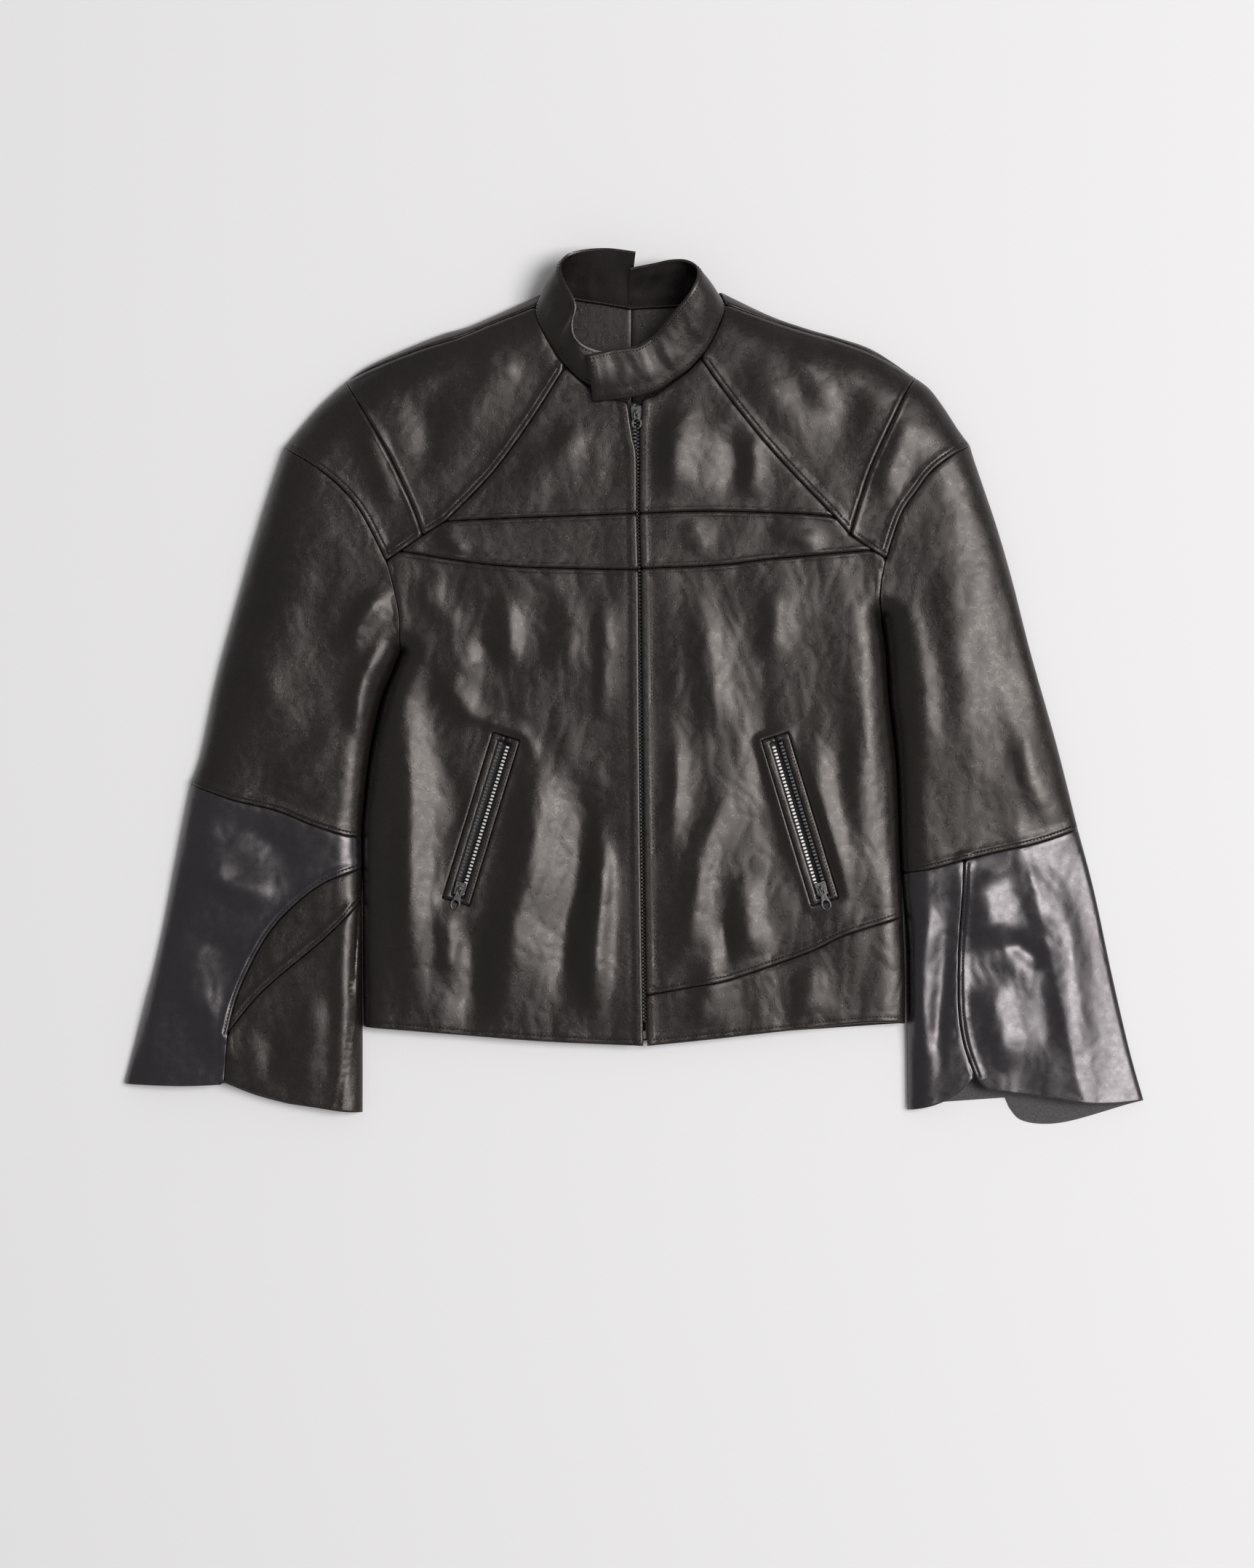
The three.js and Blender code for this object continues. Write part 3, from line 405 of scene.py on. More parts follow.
# Size of the slow swells, the wrinkles and the creases in each kind of panel, and their stretch along Y.
LOOSENESS = {"lower": (2.4, 1.3, 0.45, 0.5), "upper": (1.6, 0.9, 0.3, 0.8), "cuff": (1.6, 1.0, 0.35, 0.6)}
SWELL_SPAN = 74
WRINKLE_SPAN = 25
CREASE_SPAN = 13
CREASE_WANDER = 9  # how far the creases stray, over the span below
WANDER_SPAN = 40
FREE_HEIGHT = 12  # the leather lies loose where it is this far above its edge


def wrinkle_height(points, kind):
    swell, wrinkle, crease, stretch = LOOSENESS[kind]
    result = np.empty(len(points))
    for i, (x, y) in enumerate(points):
        slow = noise.noise(Vector((x / SWELL_SPAN, y * stretch / SWELL_SPAN, 3.1)))
        middle = noise.noise(Vector((x / WRINKLE_SPAN, y * stretch / WRINKLE_SPAN, 8.7)))
        warp = CREASE_WANDER * noise.noise(Vector((x / WANDER_SPAN, y / WANDER_SPAN, 5.5)))
        place = Vector(((x + warp) / CREASE_SPAN, (y * stretch + warp) / CREASE_SPAN, 1.9))
        line = 1 - abs(noise.noise(place))
        result[i] = swell * slow + wrinkle * middle - crease * line**6
    return result


# ---- Places on the front that stay flat: round the zip and the pockets ----
def pocket_axes(side):
    """Origin, direction across and direction up of a pocket, seen from above."""
    sign = -1 if side == "right" else 1
    up = np.array([-sign * math.sin(POCKET_TILT), math.cos(POCKET_TILT)])
    return np.array([BODY_MIDDLE + sign * POCKET_X, POCKET_Y]), np.array([up[1], -up[0]]), up


def pocket_place(side, points):
    """Points of a pocket, given across and up it, as X and Y."""
    origin, across, up = pocket_axes(side)
    points = np.asarray(points, float)
    return origin + points[:, :1] * across + points[:, 1:2] * up


def stiffness(points):
    """0 where the leather is held flat by a zip, 1 where it is free."""
    free = smooth(5, 34, distance_to(points, np.array([ZIP_TOP, ZIP_BOTTOM])))
    for side in SEAMS:
        origin, across, up = pocket_axes(side)
        local = points - origin
        x = np.abs(local @ across) - POCKET_WIDTH / 2
        y = np.abs(local @ up) - POCKET_LENGTH / 2
        away = np.hypot(np.maximum(x, 0), np.maximum(y, 0))
        free *= smooth(0.5, 9, away)
    return free


def front_height(points, kind):
    """Height of the outer face of the front layer, before what a seam does to it."""
    base = base_height(points)
    loose = np.clip((base - EDGE_HEIGHT) / FREE_HEIGHT, 0, 1) * stiffness(points)
    return base + loose * (fold_height(points) + wrinkle_height(points, kind))


# ---- What a seam does to the leather beside it, by distance from the seam ----
STITCHES_AT = {"over": 4.6, "cuff_over": 3.4, "hem": 5.0, "placket": 8.4, "window": 2.2}


def relief(style, d):
    """Height beside a seam: over lies on its neighbour, under goes beneath one, raw is a cut edge."""
    edge = np.clip(1 - d / 1.3, 0, 1) ** 2
    stitched = np.exp(-(((d - STITCHES_AT.get(style, -99)) / 0.8) ** 2))
    if style in ("over", "cuff_over"):
        return 1.0 * smooth(9, 5.4, d) - 1.9 * edge - 0.55 * stitched
    if style == "under":
        return -0.5 * np.exp(-((d / 3) ** 2)) - 0.9 * edge
    if style == "plain":
        return 0.45 * np.exp(-(((d - 3) / 1.6) ** 2)) - 1.5 * np.clip(1 - d / 1.7, 0, 1) ** 2
    if style in ("hem", "placket"):
        return 0.45 * smooth(10, 5, d) - 1.3 * np.clip(1 - d / 1.6, 0, 1) ** 2 - 0.42 * stitched
    if style == "window":
        return -0.35 * np.exp(-((d / 1.6) ** 2)) - 0.5 * edge
    if style == "raw":
        return -0.4 * edge
    return np.zeros_like(d)


# ---- Meshes ----
def link(name, mesh, materials, smooth_faces=True):
    for material in materials:
        mesh.materials.append(material)
    if smooth_faces:
        mesh.polygons.foreach_set("use_smooth", [True] * len(mesh.polygons))
    piece = bpy.data.objects.new(name, mesh)
    bpy.context.scene.collection.objects.link(piece)
    return piece


def mesh_piece(name, vertices, faces, materials, smooth_faces=True):
    mesh = bpy.data.meshes.new(name)
    mesh.from_pydata([tuple(v) for v in np.asarray(vertices) * MM], [], faces)
    mesh.update()
    return link(name, mesh, materials, smooth_faces)


def ring(outline, distance):
    """A counterclockwise outline moved in by a distance, or out by a negative one."""
    along = unit(np.roll(outline, -1, axis=0) - np.roll(outline, 1, axis=0))
    return outline + distance * np.stack([-along[:, 1], along[:, 0]], axis=1)


def inward_ring(outline, distance):
    """The points of a ring that don't come too near any part of the outline."""
    moved = ring(outline, distance)
    return moved[(distance_to(moved, closed(outline)) > 0.96 * distance) & inside(moved, outline)]


def closed_outline(lines):
    points = np.vstack([line[:-1] for line in lines])
    x, y = points.T
    clockwise = np.dot(x, np.roll(y, -1)) < np.dot(y, np.roll(x, -1))
    return points[::-1] if clockwise else points


def honeycomb(low, high, grid):
    """Points spread evenly over a rectangle, each six round one."""
    rows = []
    for i, y in enumerate(np.arange(low[1], high[1], grid * 0.866)):
        x = np.arange(low[0] + grid / 2 * (i % 2), high[0], grid)
        rows.append(np.column_stack([x, np.full(len(x), y)]))
    return np.vstack(rows)


def flat_mesh(outline, hole=None, grid=GRID, rings=RINGS):
    """Triangles that fill an outline, fine beside its edges, and the X and Y of their corners."""
    inner = honeycomb(outline.min(0), outline.max(0), grid)
    inner = inner[inside(inner, outline)]
    inner = inner[distance_to(inner, closed(outline)) > rings[-1] + grid * 0.5]
    groups = [outline] + [inward_ring(outline, distance) for distance in rings]
    edges = []
    if hole is not None:
        gap = distance_to(inner, closed(hole))
        inner = inner[~inside(inner, hole) & (gap > HOLE_MARGIN)]
        first = sum(len(group) for group in groups)
        groups.append(hole)
        edges = [(first + i, first + (i + 1) % len(hole)) for i in range(len(hole))]
        groups += [ring(hole, -distance) for distance in HOLE_RINGS]
    points = np.vstack(groups + [inner])
    found = delaunay_2d_cdt([Vector(p) for p in points], edges, [list(range(len(outline)))], 1, 1e-4)
    flat = np.array([(v.x, v.y) for v in found[0]])
    faces = [list(face) for face in found[2]]
    if hole is not None:
        centres = np.array([flat[face].mean(0) for face in faces])
        keep = ~inside(centres, hole)
        faces = [face for face, kept in zip(faces, keep) if kept]
    used = sorted({i for face in faces for i in face})
    renumber = {old: new for new, old in enumerate(used)}
    return flat[used], [[renumber[i] for i in face] for face in faces]


def thicken(piece, thickness=LEATHER, inner_slot=0):
    solid = piece.modifiers.new("thickness", "SOLIDIFY")
    solid.thickness = thickness * MM
    solid.offset = -1
    solid.material_offset = inner_slot
    return piece


# Painted highlight: a share per point by which the leather's colour is lightened, kept in the edge attribute.
def mark_painted_edge_highlight(piece, values):
    attribute = piece.data.attributes.new("edge", "FLOAT", "POINT")
    attribute.data.foreach_set("value", np.asarray(values, float))


# ---- Materials ----
def nodes_of(name):
    material = bpy.data.materials.new(name)
    material.use_nodes = True
    tree = material.node_tree
    shader = tree.nodes["Principled BSDF"]
    return material, tree, shader


def add_node(tree, kind, **settings):
    node = tree.nodes.new(kind)
    for key, value in settings.items():
        if key in node.inputs:
            node.inputs[key].default_value = value
        else:
            setattr(node, key, value)
    return node


def noise_node(tree, scale, detail=4.0, roughness=0.55):
    node = add_node(tree, "ShaderNodeTexNoise", Scale=scale, Detail=detail, Roughness=roughness)
    place = tree.nodes.get("place") or add_node(tree, "ShaderNodeTexCoord", name="place")
    tree.links.new(place.outputs["Object"], node.inputs["Vector"])
    return node


def ramp(tree, source, low, high, dark, light):
    node = tree.nodes.new("ShaderNodeMapRange")
    tree.links.new(source, node.inputs["Value"])
    for name, value in zip(("From Min", "From Max", "To Min", "To Max"), (low, high, dark, light)):
        node.inputs[name].default_value = value
    return node.outputs["Result"]


def mix_colour(tree, factor, dark, light):
    node = add_node(tree, "ShaderNodeMix", data_type="RGBA")
    tree.links.new(factor, node.inputs[0])
    node.inputs[6].default_value = (*dark, 1)
    if hasattr(light, "default_value"):
        tree.links.new(light, node.inputs[7])
    else:
        node.inputs[7].default_value = (*light, 1)
    return node


def bump(tree, height, strength, distance, normal=None):
    node = add_node(tree, "ShaderNodeBump", Strength=strength, Distance=distance * MM)
    tree.links.new(height, node.inputs["Height"])
    if normal is not None:
        tree.links.new(normal, node.inputs["Normal"])
    return node.outputs["Normal"]


CREASE_DEPTH = 0.13
GROOVE_DEPTH = 0.034
PORE_DEPTH = 0.02
PEBBLE_SHIFT = 0.0022  # share of a noise that pushes the pebbles about


def leather_material(name, dark, light, rough, grain, pebble, shine, tint):
    """Leather with pebble grain, finer pores, colour that varies and a painted highlight that lightens the
    colour along seams and edges.
    """
    material, tree, shader = nodes_of(name)
    links = tree.links
    slow = noise_node(tree, 9, 5)
    cells = add_node(tree, "ShaderNodeTexVoronoi", feature="DISTANCE_TO_EDGE", Scale=1000 / pebble)
    warped = noise_node(tree, 260, 2)
    shift = add_node(tree, "ShaderNodeMix", data_type="RGBA")
    shift.inputs[0].default_value = PEBBLE_SHIFT
    links.new(tree.nodes["place"].outputs["Object"], shift.inputs[6])
    links.new(warped.outputs["Color"], shift.inputs[7])
    links.new(shift.outputs[2], cells.inputs["Vector"])
    grooves = ramp(tree, cells.outputs["Distance"], 0.0, 0.16, 0.0, 1.0)
    pores = noise_node(tree, 1900, 3, 0.6)
    creases = noise_node(tree, 120, 6, 0.62)
    base = mix_colour(tree, ramp(tree, slow.outputs["Fac"], 0.35, 0.68, 0, 1), dark, light)
    # Painted highlight: the edge attribute, broken up by the crease noise, lightens the colour towards 2.6
    # times the light tone along seams and edges.
    edge = add_node(tree, "ShaderNodeAttribute", attribute_name="edge")
    painted_edge_highlight = add_node(tree, "ShaderNodeMath", operation="MULTIPLY")
    links.new(edge.outputs["Fac"], painted_edge_highlight.inputs[0])
    links.new(ramp(tree, creases.outputs["Fac"], 0.42, 0.62, 0.1, 0.75), painted_edge_highlight.inputs[1])
    top = mix_colour(tree, painted_edge_highlight.outputs[0], dark, tuple(2.6 * c for c in light))
    links.new(base.outputs[2], top.inputs[6])
    grooved = mix_colour(tree, grooves, tuple(0.5 * c for c in dark), top.outputs[2])
    links.new(grooved.outputs[2], shader.inputs["Base Color"])
    links.new(ramp(tree, creases.outputs["Fac"], 0.3, 0.7, rough - 0.06, rough + 0.08),
              shader.inputs["Roughness"])
    first = bump(tree, creases.outputs["Fac"], grain, CREASE_DEPTH)
    second = bump(tree, grooves, grain, GROOVE_DEPTH, first)
    links.new(bump(tree, pores.outputs["Fac"], grain, PORE_DEPTH, second), shader.inputs["Normal"])
    shader.inputs["Specular IOR Level"].default_value = shine
    shader.inputs["Specular Tint"].default_value = (*tint, 1)
    return material


def suede_material():
    material, tree, shader = nodes_of("suede")
    nap = noise_node(tree, 1300, 4, 0.7)
    patches = noise_node(tree, 60, 4)
    tone = mix_colour(tree, ramp(tree, nap.outputs["Fac"], 0.3, 0.7, 0, 1), (0.03, 0.028, 0.03),
                      (0.13, 0.12, 0.125))
    tree.links.new(tone.outputs[2], shader.inputs["Base Color"])
    tree.links.new(ramp(tree, patches.outputs["Fac"], 0.3, 0.7, 0.86, 0.98), shader.inputs["Roughness"])
    tree.links.new(bump(tree, nap.outputs["Fac"], 0.6, 0.25), shader.inputs["Normal"])
    shader.inputs["Sheen Weight"].default_value = 0.25
    shader.inputs["Sheen Roughness"].default_value = 0.6
    return material


def cloth_material(name, colour, pitch):
    material, tree, shader = nodes_of(name)
    weave = add_node(tree, "ShaderNodeTexWave", Scale=1000 / pitch / 6.28, Distortion=0.4)
    fuzz = noise_node(tree, 900, 3)
    tree.links.new(tree.nodes["place"].outputs["Object"], weave.inputs["Vector"])
    tone = mix_colour(tree, weave.outputs["Fac"], tuple(0.45 * c for c in colour), colour)
    tree.links.new(tone.outputs[2], shader.inputs["Base Color"])
    tree.links.new(ramp(tree, fuzz.outputs["Fac"], 0.3, 0.7, 0.7, 0.95), shader.inputs["Roughness"])
    tree.links.new(bump(tree, weave.outputs["Fac"], 0.5, 0.12), shader.inputs["Normal"])
    return material


def metal_material(name, dark, light, rough):
    material, tree, shader = nodes_of(name)
    scuffs = noise_node(tree, 700, 5, 0.7)
    tone = mix_colour(tree, ramp(tree, scuffs.outputs["Fac"], 0.35, 0.65, 0, 1), dark, light)
    tree.links.new(tone.outputs[2], shader.inputs["Base Color"])
    tree.links.new(ramp(tree, scuffs.outputs["Fac"], 0.3, 0.7, rough, rough + 0.16),
                   shader.inputs["Roughness"])
    tree.links.new(bump(tree, scuffs.outputs["Fac"], 0.15, 0.04), shader.inputs["Normal"])
    shader.inputs["Metallic"].default_value = 1.0
    return material


GRAINED = leather_material("grained_leather", (0.0082, 0.0068, 0.0063), (0.0155, 0.0126, 0.0112), 0.29,
                           1.0, 1.2, 0.58, (1.0, 0.93, 0.89))
SMOOTH = leather_material("smooth_leather", (0.0085, 0.0072, 0.009), (0.0145, 0.0126, 0.0155), 0.3, 0.3,
                          0.8, 0.9, (1.0, 0.94, 0.97))
SUEDE = suede_material()
TAPE = cloth_material("zip_tape", (0.014, 0.014, 0.015), 0.7)
THREAD = cloth_material("thread", (0.008, 0.007, 0.0065), 0.35)
GUNMETAL = metal_material("gunmetal", (0.07, 0.07, 0.073), (0.2, 0.2, 0.205), 0.3)
NICKEL = metal_material("nickel", (0.6, 0.59, 0.57), (0.85, 0.84, 0.81), 0.36)

# ---- Which body each part of the jacket moves with ----
ARM = {"right": ("right_sleeve_body", (-266, 126), (-0.869, -0.495)),
       "left": ("left_sleeve_body", (265.5, 142.5), (0.889, -0.459))}


def bend_sleeve(piece):
    """Bakes the sleeve leather's placement into its mesh; nothing turns it from the armhole."""
    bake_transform(piece)


def attach(piece, side, part):
    """Part is body for what stays with the jacket, arm for a sleeve's leather and cuff for its end."""
    if part == "body":
        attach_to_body(piece, "jacket_body")
    elif part == "cuff":
        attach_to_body(piece, ARM[side][0])
    else:
        bend_sleeve(piece)


# ---- Stitches: each a short length of thread that dips into the leather at both ends ----
STITCH_SIDES = 6
STITCH_RINGS = ((-0.5, 0.35, -0.4), (-0.3, 1, -0.08), (0, 1, 0.06), (0.3, 1, -0.08), (0.5, 0.35, -0.4))
threads = {}


def add_stitches(group, centres, along, outward):
    """Keeps stitches to be made later: middles, directions along the seam and out of the leather."""
    threads.setdefault(group, []).append((centres, along, outward))


def stitch_mesh(parts):
    centres, along, outward = (np.vstack(values) for values in zip(*parts))
    side = np.cross(along, outward)
    corners = []
    for place, width, height in STITCH_RINGS:
        for k in range(STITCH_SIDES):
            angle = 2 * math.pi * k / STITCH_SIDES
            lift = height + STITCH_RADIUS * width * math.sin(angle)
            corners.append(centres + along * place * STITCH_LENGTH + outward * lift
                           + side * STITCH_RADIUS * width * math.cos(angle))
    vertices = np.stack(corners, 1).reshape(-1, 3)
    rings, sides = len(STITCH_RINGS), STITCH_SIDES
    one = [(r * sides + k, r * sides + (k + 1) % sides, (r + 1) * sides + (k + 1) % sides,
            (r + 1) * sides + k) for r in range(rings - 1) for k in range(sides)]
    one += [tuple(range(sides))[::-1], tuple(range((rings - 1) * sides, rings * sides))]
    faces = [tuple(i + n * rings * sides for i in face) for n in range(len(centres)) for face in one]
    return vertices, faces


def along_line(line, offset, outline):
    """Middles and directions of the stitches that follow a seam, offset into its panel."""
    line = curve(line, 1.0) if len(line) > 2 else line
    tangent = unit(np.gradient(line, axis=0))
    inward = np.stack([-tangent[:, 1], tangent[:, 0]], 1)
    middle = len(line) // 2
    if not inside((line + 1.5 * inward)[middle : middle + 1], outline)[0]:
        inward = -inward
    path = curve(line + offset * inward, STITCH_PITCH)
    direction = unit(np.gradient(path, axis=0))
    keep = inside(path, outline) & (distance_to(path, closed(outline)) > min(1.2, offset * 0.6))
    return path[keep], direction[keep]


# ---- Panels of the front layer ----
def panel(name, side, edges, kind="upper", part="body", finish="grained", hole=None,
          inner_seam=None):
    """One piece of leather: its seams in order, each with what it does to the leather there."""
    lines = [seam_points(side, seam) for seam, _ in edges]
    styles = [style for _, style in edges]
    outline = closed_outline(lines)
    if hole is not None:
        lines.append(closed(hole))
        styles.append("window")
    if inner_seam is not None:
        lines.append(curve(inner_seam))
        styles.append("plain")

    def height(points):
        z = front_height(points, kind)
        for line, style in zip(lines, styles):
            z += relief(style, distance_to(points, line))
        return z

    flat, faces = flat_mesh(outline, hole)
    # Painted highlight: a lighter band about 2 mm wide along each seam and cut edge of the panel.
    painted_edge_highlight = np.zeros(len(flat))
    for line, style in zip(lines, styles):
        if style not in ("fold", "hidden"):
            painted_edge_highlight = np.maximum(painted_edge_highlight, np.exp(-((distance_to(flat, line) / 1.8) ** 2)))
    leather = GRAINED if finish == "grained" else SMOOTH
    piece = mesh_piece(f"{name}_leather", np.column_stack([flat, height(flat)]), faces, [leather, SUEDE])
    mark_painted_edge_highlight(piece, painted_edge_highlight)
    thicken(piece, inner_slot=1)
    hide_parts(name)
    attach(piece, side, part)
    group = "body" if part == "body" else f"{side}_{part}"
    for line, style in zip(lines, styles):
        if style not in STITCHES_AT:
            continue
        path, direction = along_line(line, STITCHES_AT[style], outline)
        ahead = height(path + direction)
        behind = height(path - direction)
        along = unit(np.column_stack([direction, (ahead - behind) / 2]))
        outward = np.tile((0.0, 0.0, 1.0), (len(path), 1))
        add_stitches(group, np.column_stack([path, height(path)]), along, outward)


def pocket_window(side):
    x, y = POCKET_WIDTH / 2, POCKET_LENGTH / 2
    corners = [(-x, -y), (x, -y), (x, y), (-x, y), (-x, -y)]
    sides = [curve([a, b]) for a, b in zip(corners, corners[1:])]
    return pocket_place(side, np.vstack([line[:-1] for line in sides]))


def make_front(side):
    panel(f"{side}_shoulder_panel", side, [
        ("shoulder_seam", "plain"), ("cap_seam", "plain"), ("-raglan_lower", "over"),
        ("-raglan_upper", "over"), ("neck_side", "under")])
    panel(f"{side}_shoulder_cap", side, [
        ("cap_fold", "fold"), ("armhole_upper", "over"), ("-raglan_tip", "over"),
        ("-raglan_end", "over"), ("-cap_seam", "plain")])
    panel(f"{side}_back_yoke", side, [
        ("shoulder_fold", "fold"), ("-shoulder_seam", "plain"), ("yoke_end", "hidden")])
    panel(f"{side}_upper_front", side, [
        ("neck", "under"), ("raglan_upper", "under"), ("band_top", "plain"),
        ("front_edge_top", "placket")])
    panel(f"{side}_chest_band", side, [
        ("band_top", "plain"), ("-front_edge_band", "placket"), ("-band_bottom", "plain"),
        ("-raglan_end", "under"), ("-raglan_lower", "under")])
    low = [("band_bottom", "plain"), ("-front_edge_low", "placket")]
    low += [("-hem", "hem"), ("-side_lower", "fold")] if side == "right" else [
        ("hem_seam", "over"), ("-side_lower", "fold")]
    low += [("-side", "fold"), ("-armhole_lower", "under"), ("-raglan_tip", "under")]
    panel(f"{side}_lower_front", side, low, kind="lower", hole=pocket_window(side))


for one in SEAMS:
    SEAMS[one]["yoke_end"] = [SEAMS[one]["shoulder_seam"][0], SEAMS[one]["shoulder_fold"][0]]
    make_front(one)
panel("left_hem_panel", "left", [
    ("-hem_seam", "under"), ("-front_edge_hem", "placket"), ("-hem", "hem"), ("-side_hem", "fold")],
    kind="lower")

# ---- Sleeves and cuffs ----
panel("right_sleeve_upper", "right", [
    ("armhole_upper", "under"), ("armhole_lower", "fold"), ("side", "fold"), ("cuff_seam", "cuff_over"),
    ("-outer", "fold")], part="arm")
panel("left_sleeve_upper", "left", [
    ("armhole_upper", "under"), ("armhole_lower", "fold"), ("side", "fold"), ("cuff_seam", "cuff_over"),
    ("cuff_seam_outer", "cuff_over"), ("-outer", "fold")], part="arm")
panel("right_cuff_outer", "right", [
    ("cuff_seam", "under"), ("cuff_outer", "fold"), ("-cuff_hem_outer", "raw"), ("-slit", "raw"),
    ("-crescent_top", "cuff_over"), ("-cuff_inner_top", "fold")], kind="cuff", part="cuff",
    finish="smooth")
panel("right_cuff_crescent", "right", [
    ("cuff_inner_mid", "fold"), ("crescent_bottom", "cuff_over"), ("-crescent_top", "under")],
    kind="cuff", part="cuff")
panel("right_cuff_inner", "right", [
    ("cuff_inner_low", "fold"), ("cuff_hem_inner", "raw"), ("-slit", "under"),
    ("-crescent_bottom", "under")], kind="cuff", part="cuff",
    inner_seam=[(-251, -201), (-256, -286), (-261, -333), (-271, -384)])
panel("left_cuff_front_inner", "left", [
    ("cuff_seam", "under"), ("cuff_middle", "under"), ("-cuff_hem_inner", "raw"),
    ("-cuff_inner", "fold")], kind="cuff", part="cuff", finish="smooth")
panel("left_cuff_front_outer", "left", [
    ("cuff_seam_outer", "under"), ("cuff_outer", "fold"), ("-cuff_hem_outer", "raw"),
    ("-cuff_middle", "cuff_over")], kind="cuff", part="cuff", finish="smooth")

# ---- The layer that lies on the floor; its inner side shows at the neck and in the cuffs ----
BACK_GRID = 9
BACK_RINGS = (0.6, 1.4, 2.6, 5.0)


def under_panel(name, side, seams, part="body", finish="grained"):
    outline = closed_outline([seam if isinstance(seam, np.ndarray) else seam_points(side, seam)
                              for seam in seams])
    flat, faces = flat_mesh(outline, grid=BACK_GRID, rings=BACK_RINGS)
    swell = np.array([noise.noise(Vector((x / 90, y / 90, 12.3))) for x, y in flat])
    edge = distance_to(flat, closed(outline))
    z = LEATHER + np.clip(swell, 0, 1) * smooth(0, 40, edge) * 0.8 - 0.5 * np.clip(1 - edge / 2, 0, 1)
    leather = GRAINED if finish == "grained" else SMOOTH
    piece = mesh_piece(f"{name}_leather", np.column_stack([flat, z]), faces,
                       [SUEDE if part == "cuff" else GRAINED, leather])
    # A weak painted highlight along the panel's edge.
    mark_painted_edge_highlight(piece, 0.15 * np.exp(-((edge / 1.5) ** 2)))
    thicken(piece, inner_slot=1)
    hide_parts(name)
    attach(piece, side, part)


CENTRE_BACK = -3
BACK_NECK = {"right": [(-86, 359), (-56, 357), (-30, 353), (CENTRE_BACK, 350)],
             "left": [(79, 361), (60, 355), (35, 351), (CENTRE_BACK, 350)]}
BACK_HEM = {"right": [(CENTRE_BACK, -322), (-118, -316), (-247, -308)],
            "left": [(CENTRE_BACK, -322), (71, -317), (246, -305)]}
BACK_OUTER = ["-side", "-armhole_lower", "-armhole_upper", "-cap_fold", "-shoulder_fold"]
FLAP = [(342, -382), (352, -393), (372, -397), (399, -394), (447, -380), (464, -375.5)]

for one in SEAMS:
    centre = curve([(CENTRE_BACK, 350), (CENTRE_BACK, -322)])
    lower = ["-side_lower"] if one == "right" else ["-side_hem", "-side_lower"]
    under_panel(f"back_{one}_panel", one, [
        curve(BACK_HEM[one]), *lower, *BACK_OUTER, curve(BACK_NECK[one]), centre])
under_panel("right_sleeve_under", "right", [
    "armhole_upper", "armhole_lower", "side", "cuff_seam", "-outer"], part="arm")
under_panel("left_sleeve_under", "left", [
    "armhole_upper", "armhole_lower", "side", "cuff_seam", "cuff_seam_outer", "-outer"], part="arm")
under_panel("right_cuff_back", "right", [
    "cuff_seam", "cuff_outer", "-cuff_hem_outer", curve([(-373, -360), (-345, -371), (-315, -379)]),
    curve([(-315, -379), (-271, -385), (-248, -386)]), "-cuff_inner_low", "-cuff_inner_mid",
    "-cuff_inner_top"], part="cuff", finish="smooth")
under_panel("left_cuff_back", "left", [
    "cuff_seam", "cuff_seam_outer", "cuff_outer", curve(FLAP)[::-1], curve([(342, -382), (338, -373)]),
    curve([(338, -373), (281, -377), (249, -379)]), curve([(249, -379), (248, -300), (247, -235),
                                                          (243, -168)])],
    part="cuff", finish="smooth")

# ---- Collar: each half is a band between its seam and its free edge ----
COLLAR_THICKNESS = 2.2
COLLAR = {
    "collar_right_half": (
        [(-5, 346, 3), (-30, 350, 3), (-55, 354, 3.5), (-74, 356, 8), (-86, 352, 17), (-90, 343, 24),
         (-88, 332, 27), (-81, 318, 29), (-72, 303, 29.4), (-62, 290, 29.2), (-47, 277, 29),
         (-25, 265.5, 28.7), (-4, 260, 28.6)],
        [(1, 395, 28), (-25, 398, 29), (-50, 396, 31), (-62, 391, 35), (-67, 381, 41), (-64, 367, 47),
         (-57, 354, 50), (-53, 342, 51), (-56, 328, 50), (-54, 317, 48), (-44, 308.5, 43),
         (-24, 304, 38), (-2, 305, 35)]),
    "collar_left_half": (
        [(-37.5, 258, 33), (-26, 259, 33.6), (-11, 261, 33.8), (5, 263.5, 33.4), (16, 267, 32.3),
         (26, 271.5, 31), (36, 279, 30.5), (48, 287, 29.8), (60, 299, 29.4), (70, 314, 29.4),
         (78, 331, 28.5), (82, 345, 23), (77, 353, 14), (62, 353, 6), (38, 348, 3.6),
         (-7, 345.5, 2.4)],
        [(-43, 299, 46), (-32, 301.5, 45.4), (-20, 304.5, 44.6), (-8, 306, 44), (4, 308.5, 43.4),
         (18, 317.5, 43.5), (24, 324, 45), (35, 337, 48.5), (44, 347.5, 51), (51, 357, 52),
         (56.5, 369, 49), (56, 380, 42), (47, 387, 33), (33, 388, 27), (17, 385, 24.5),
         (-4, 381, 24)]),
}
COLLAR_ROWS = 20
COLLAR_STITCH = 4.0


HINGE = np.array((25.4, 271.6))


def bend_tab(piece):
    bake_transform(piece)


def sharpen(piece):
    """Makes a piece's thickness real, with hard edges that keep its faces' shading apart."""
    solid = bpy.data.meshes.new_from_object(piece.evaluated_get(bpy.context.evaluated_depsgraph_get()))
    solid.set_sharp_from_angle(angle=math.radians(60))
    piece.modifiers.clear()
    piece.data = solid


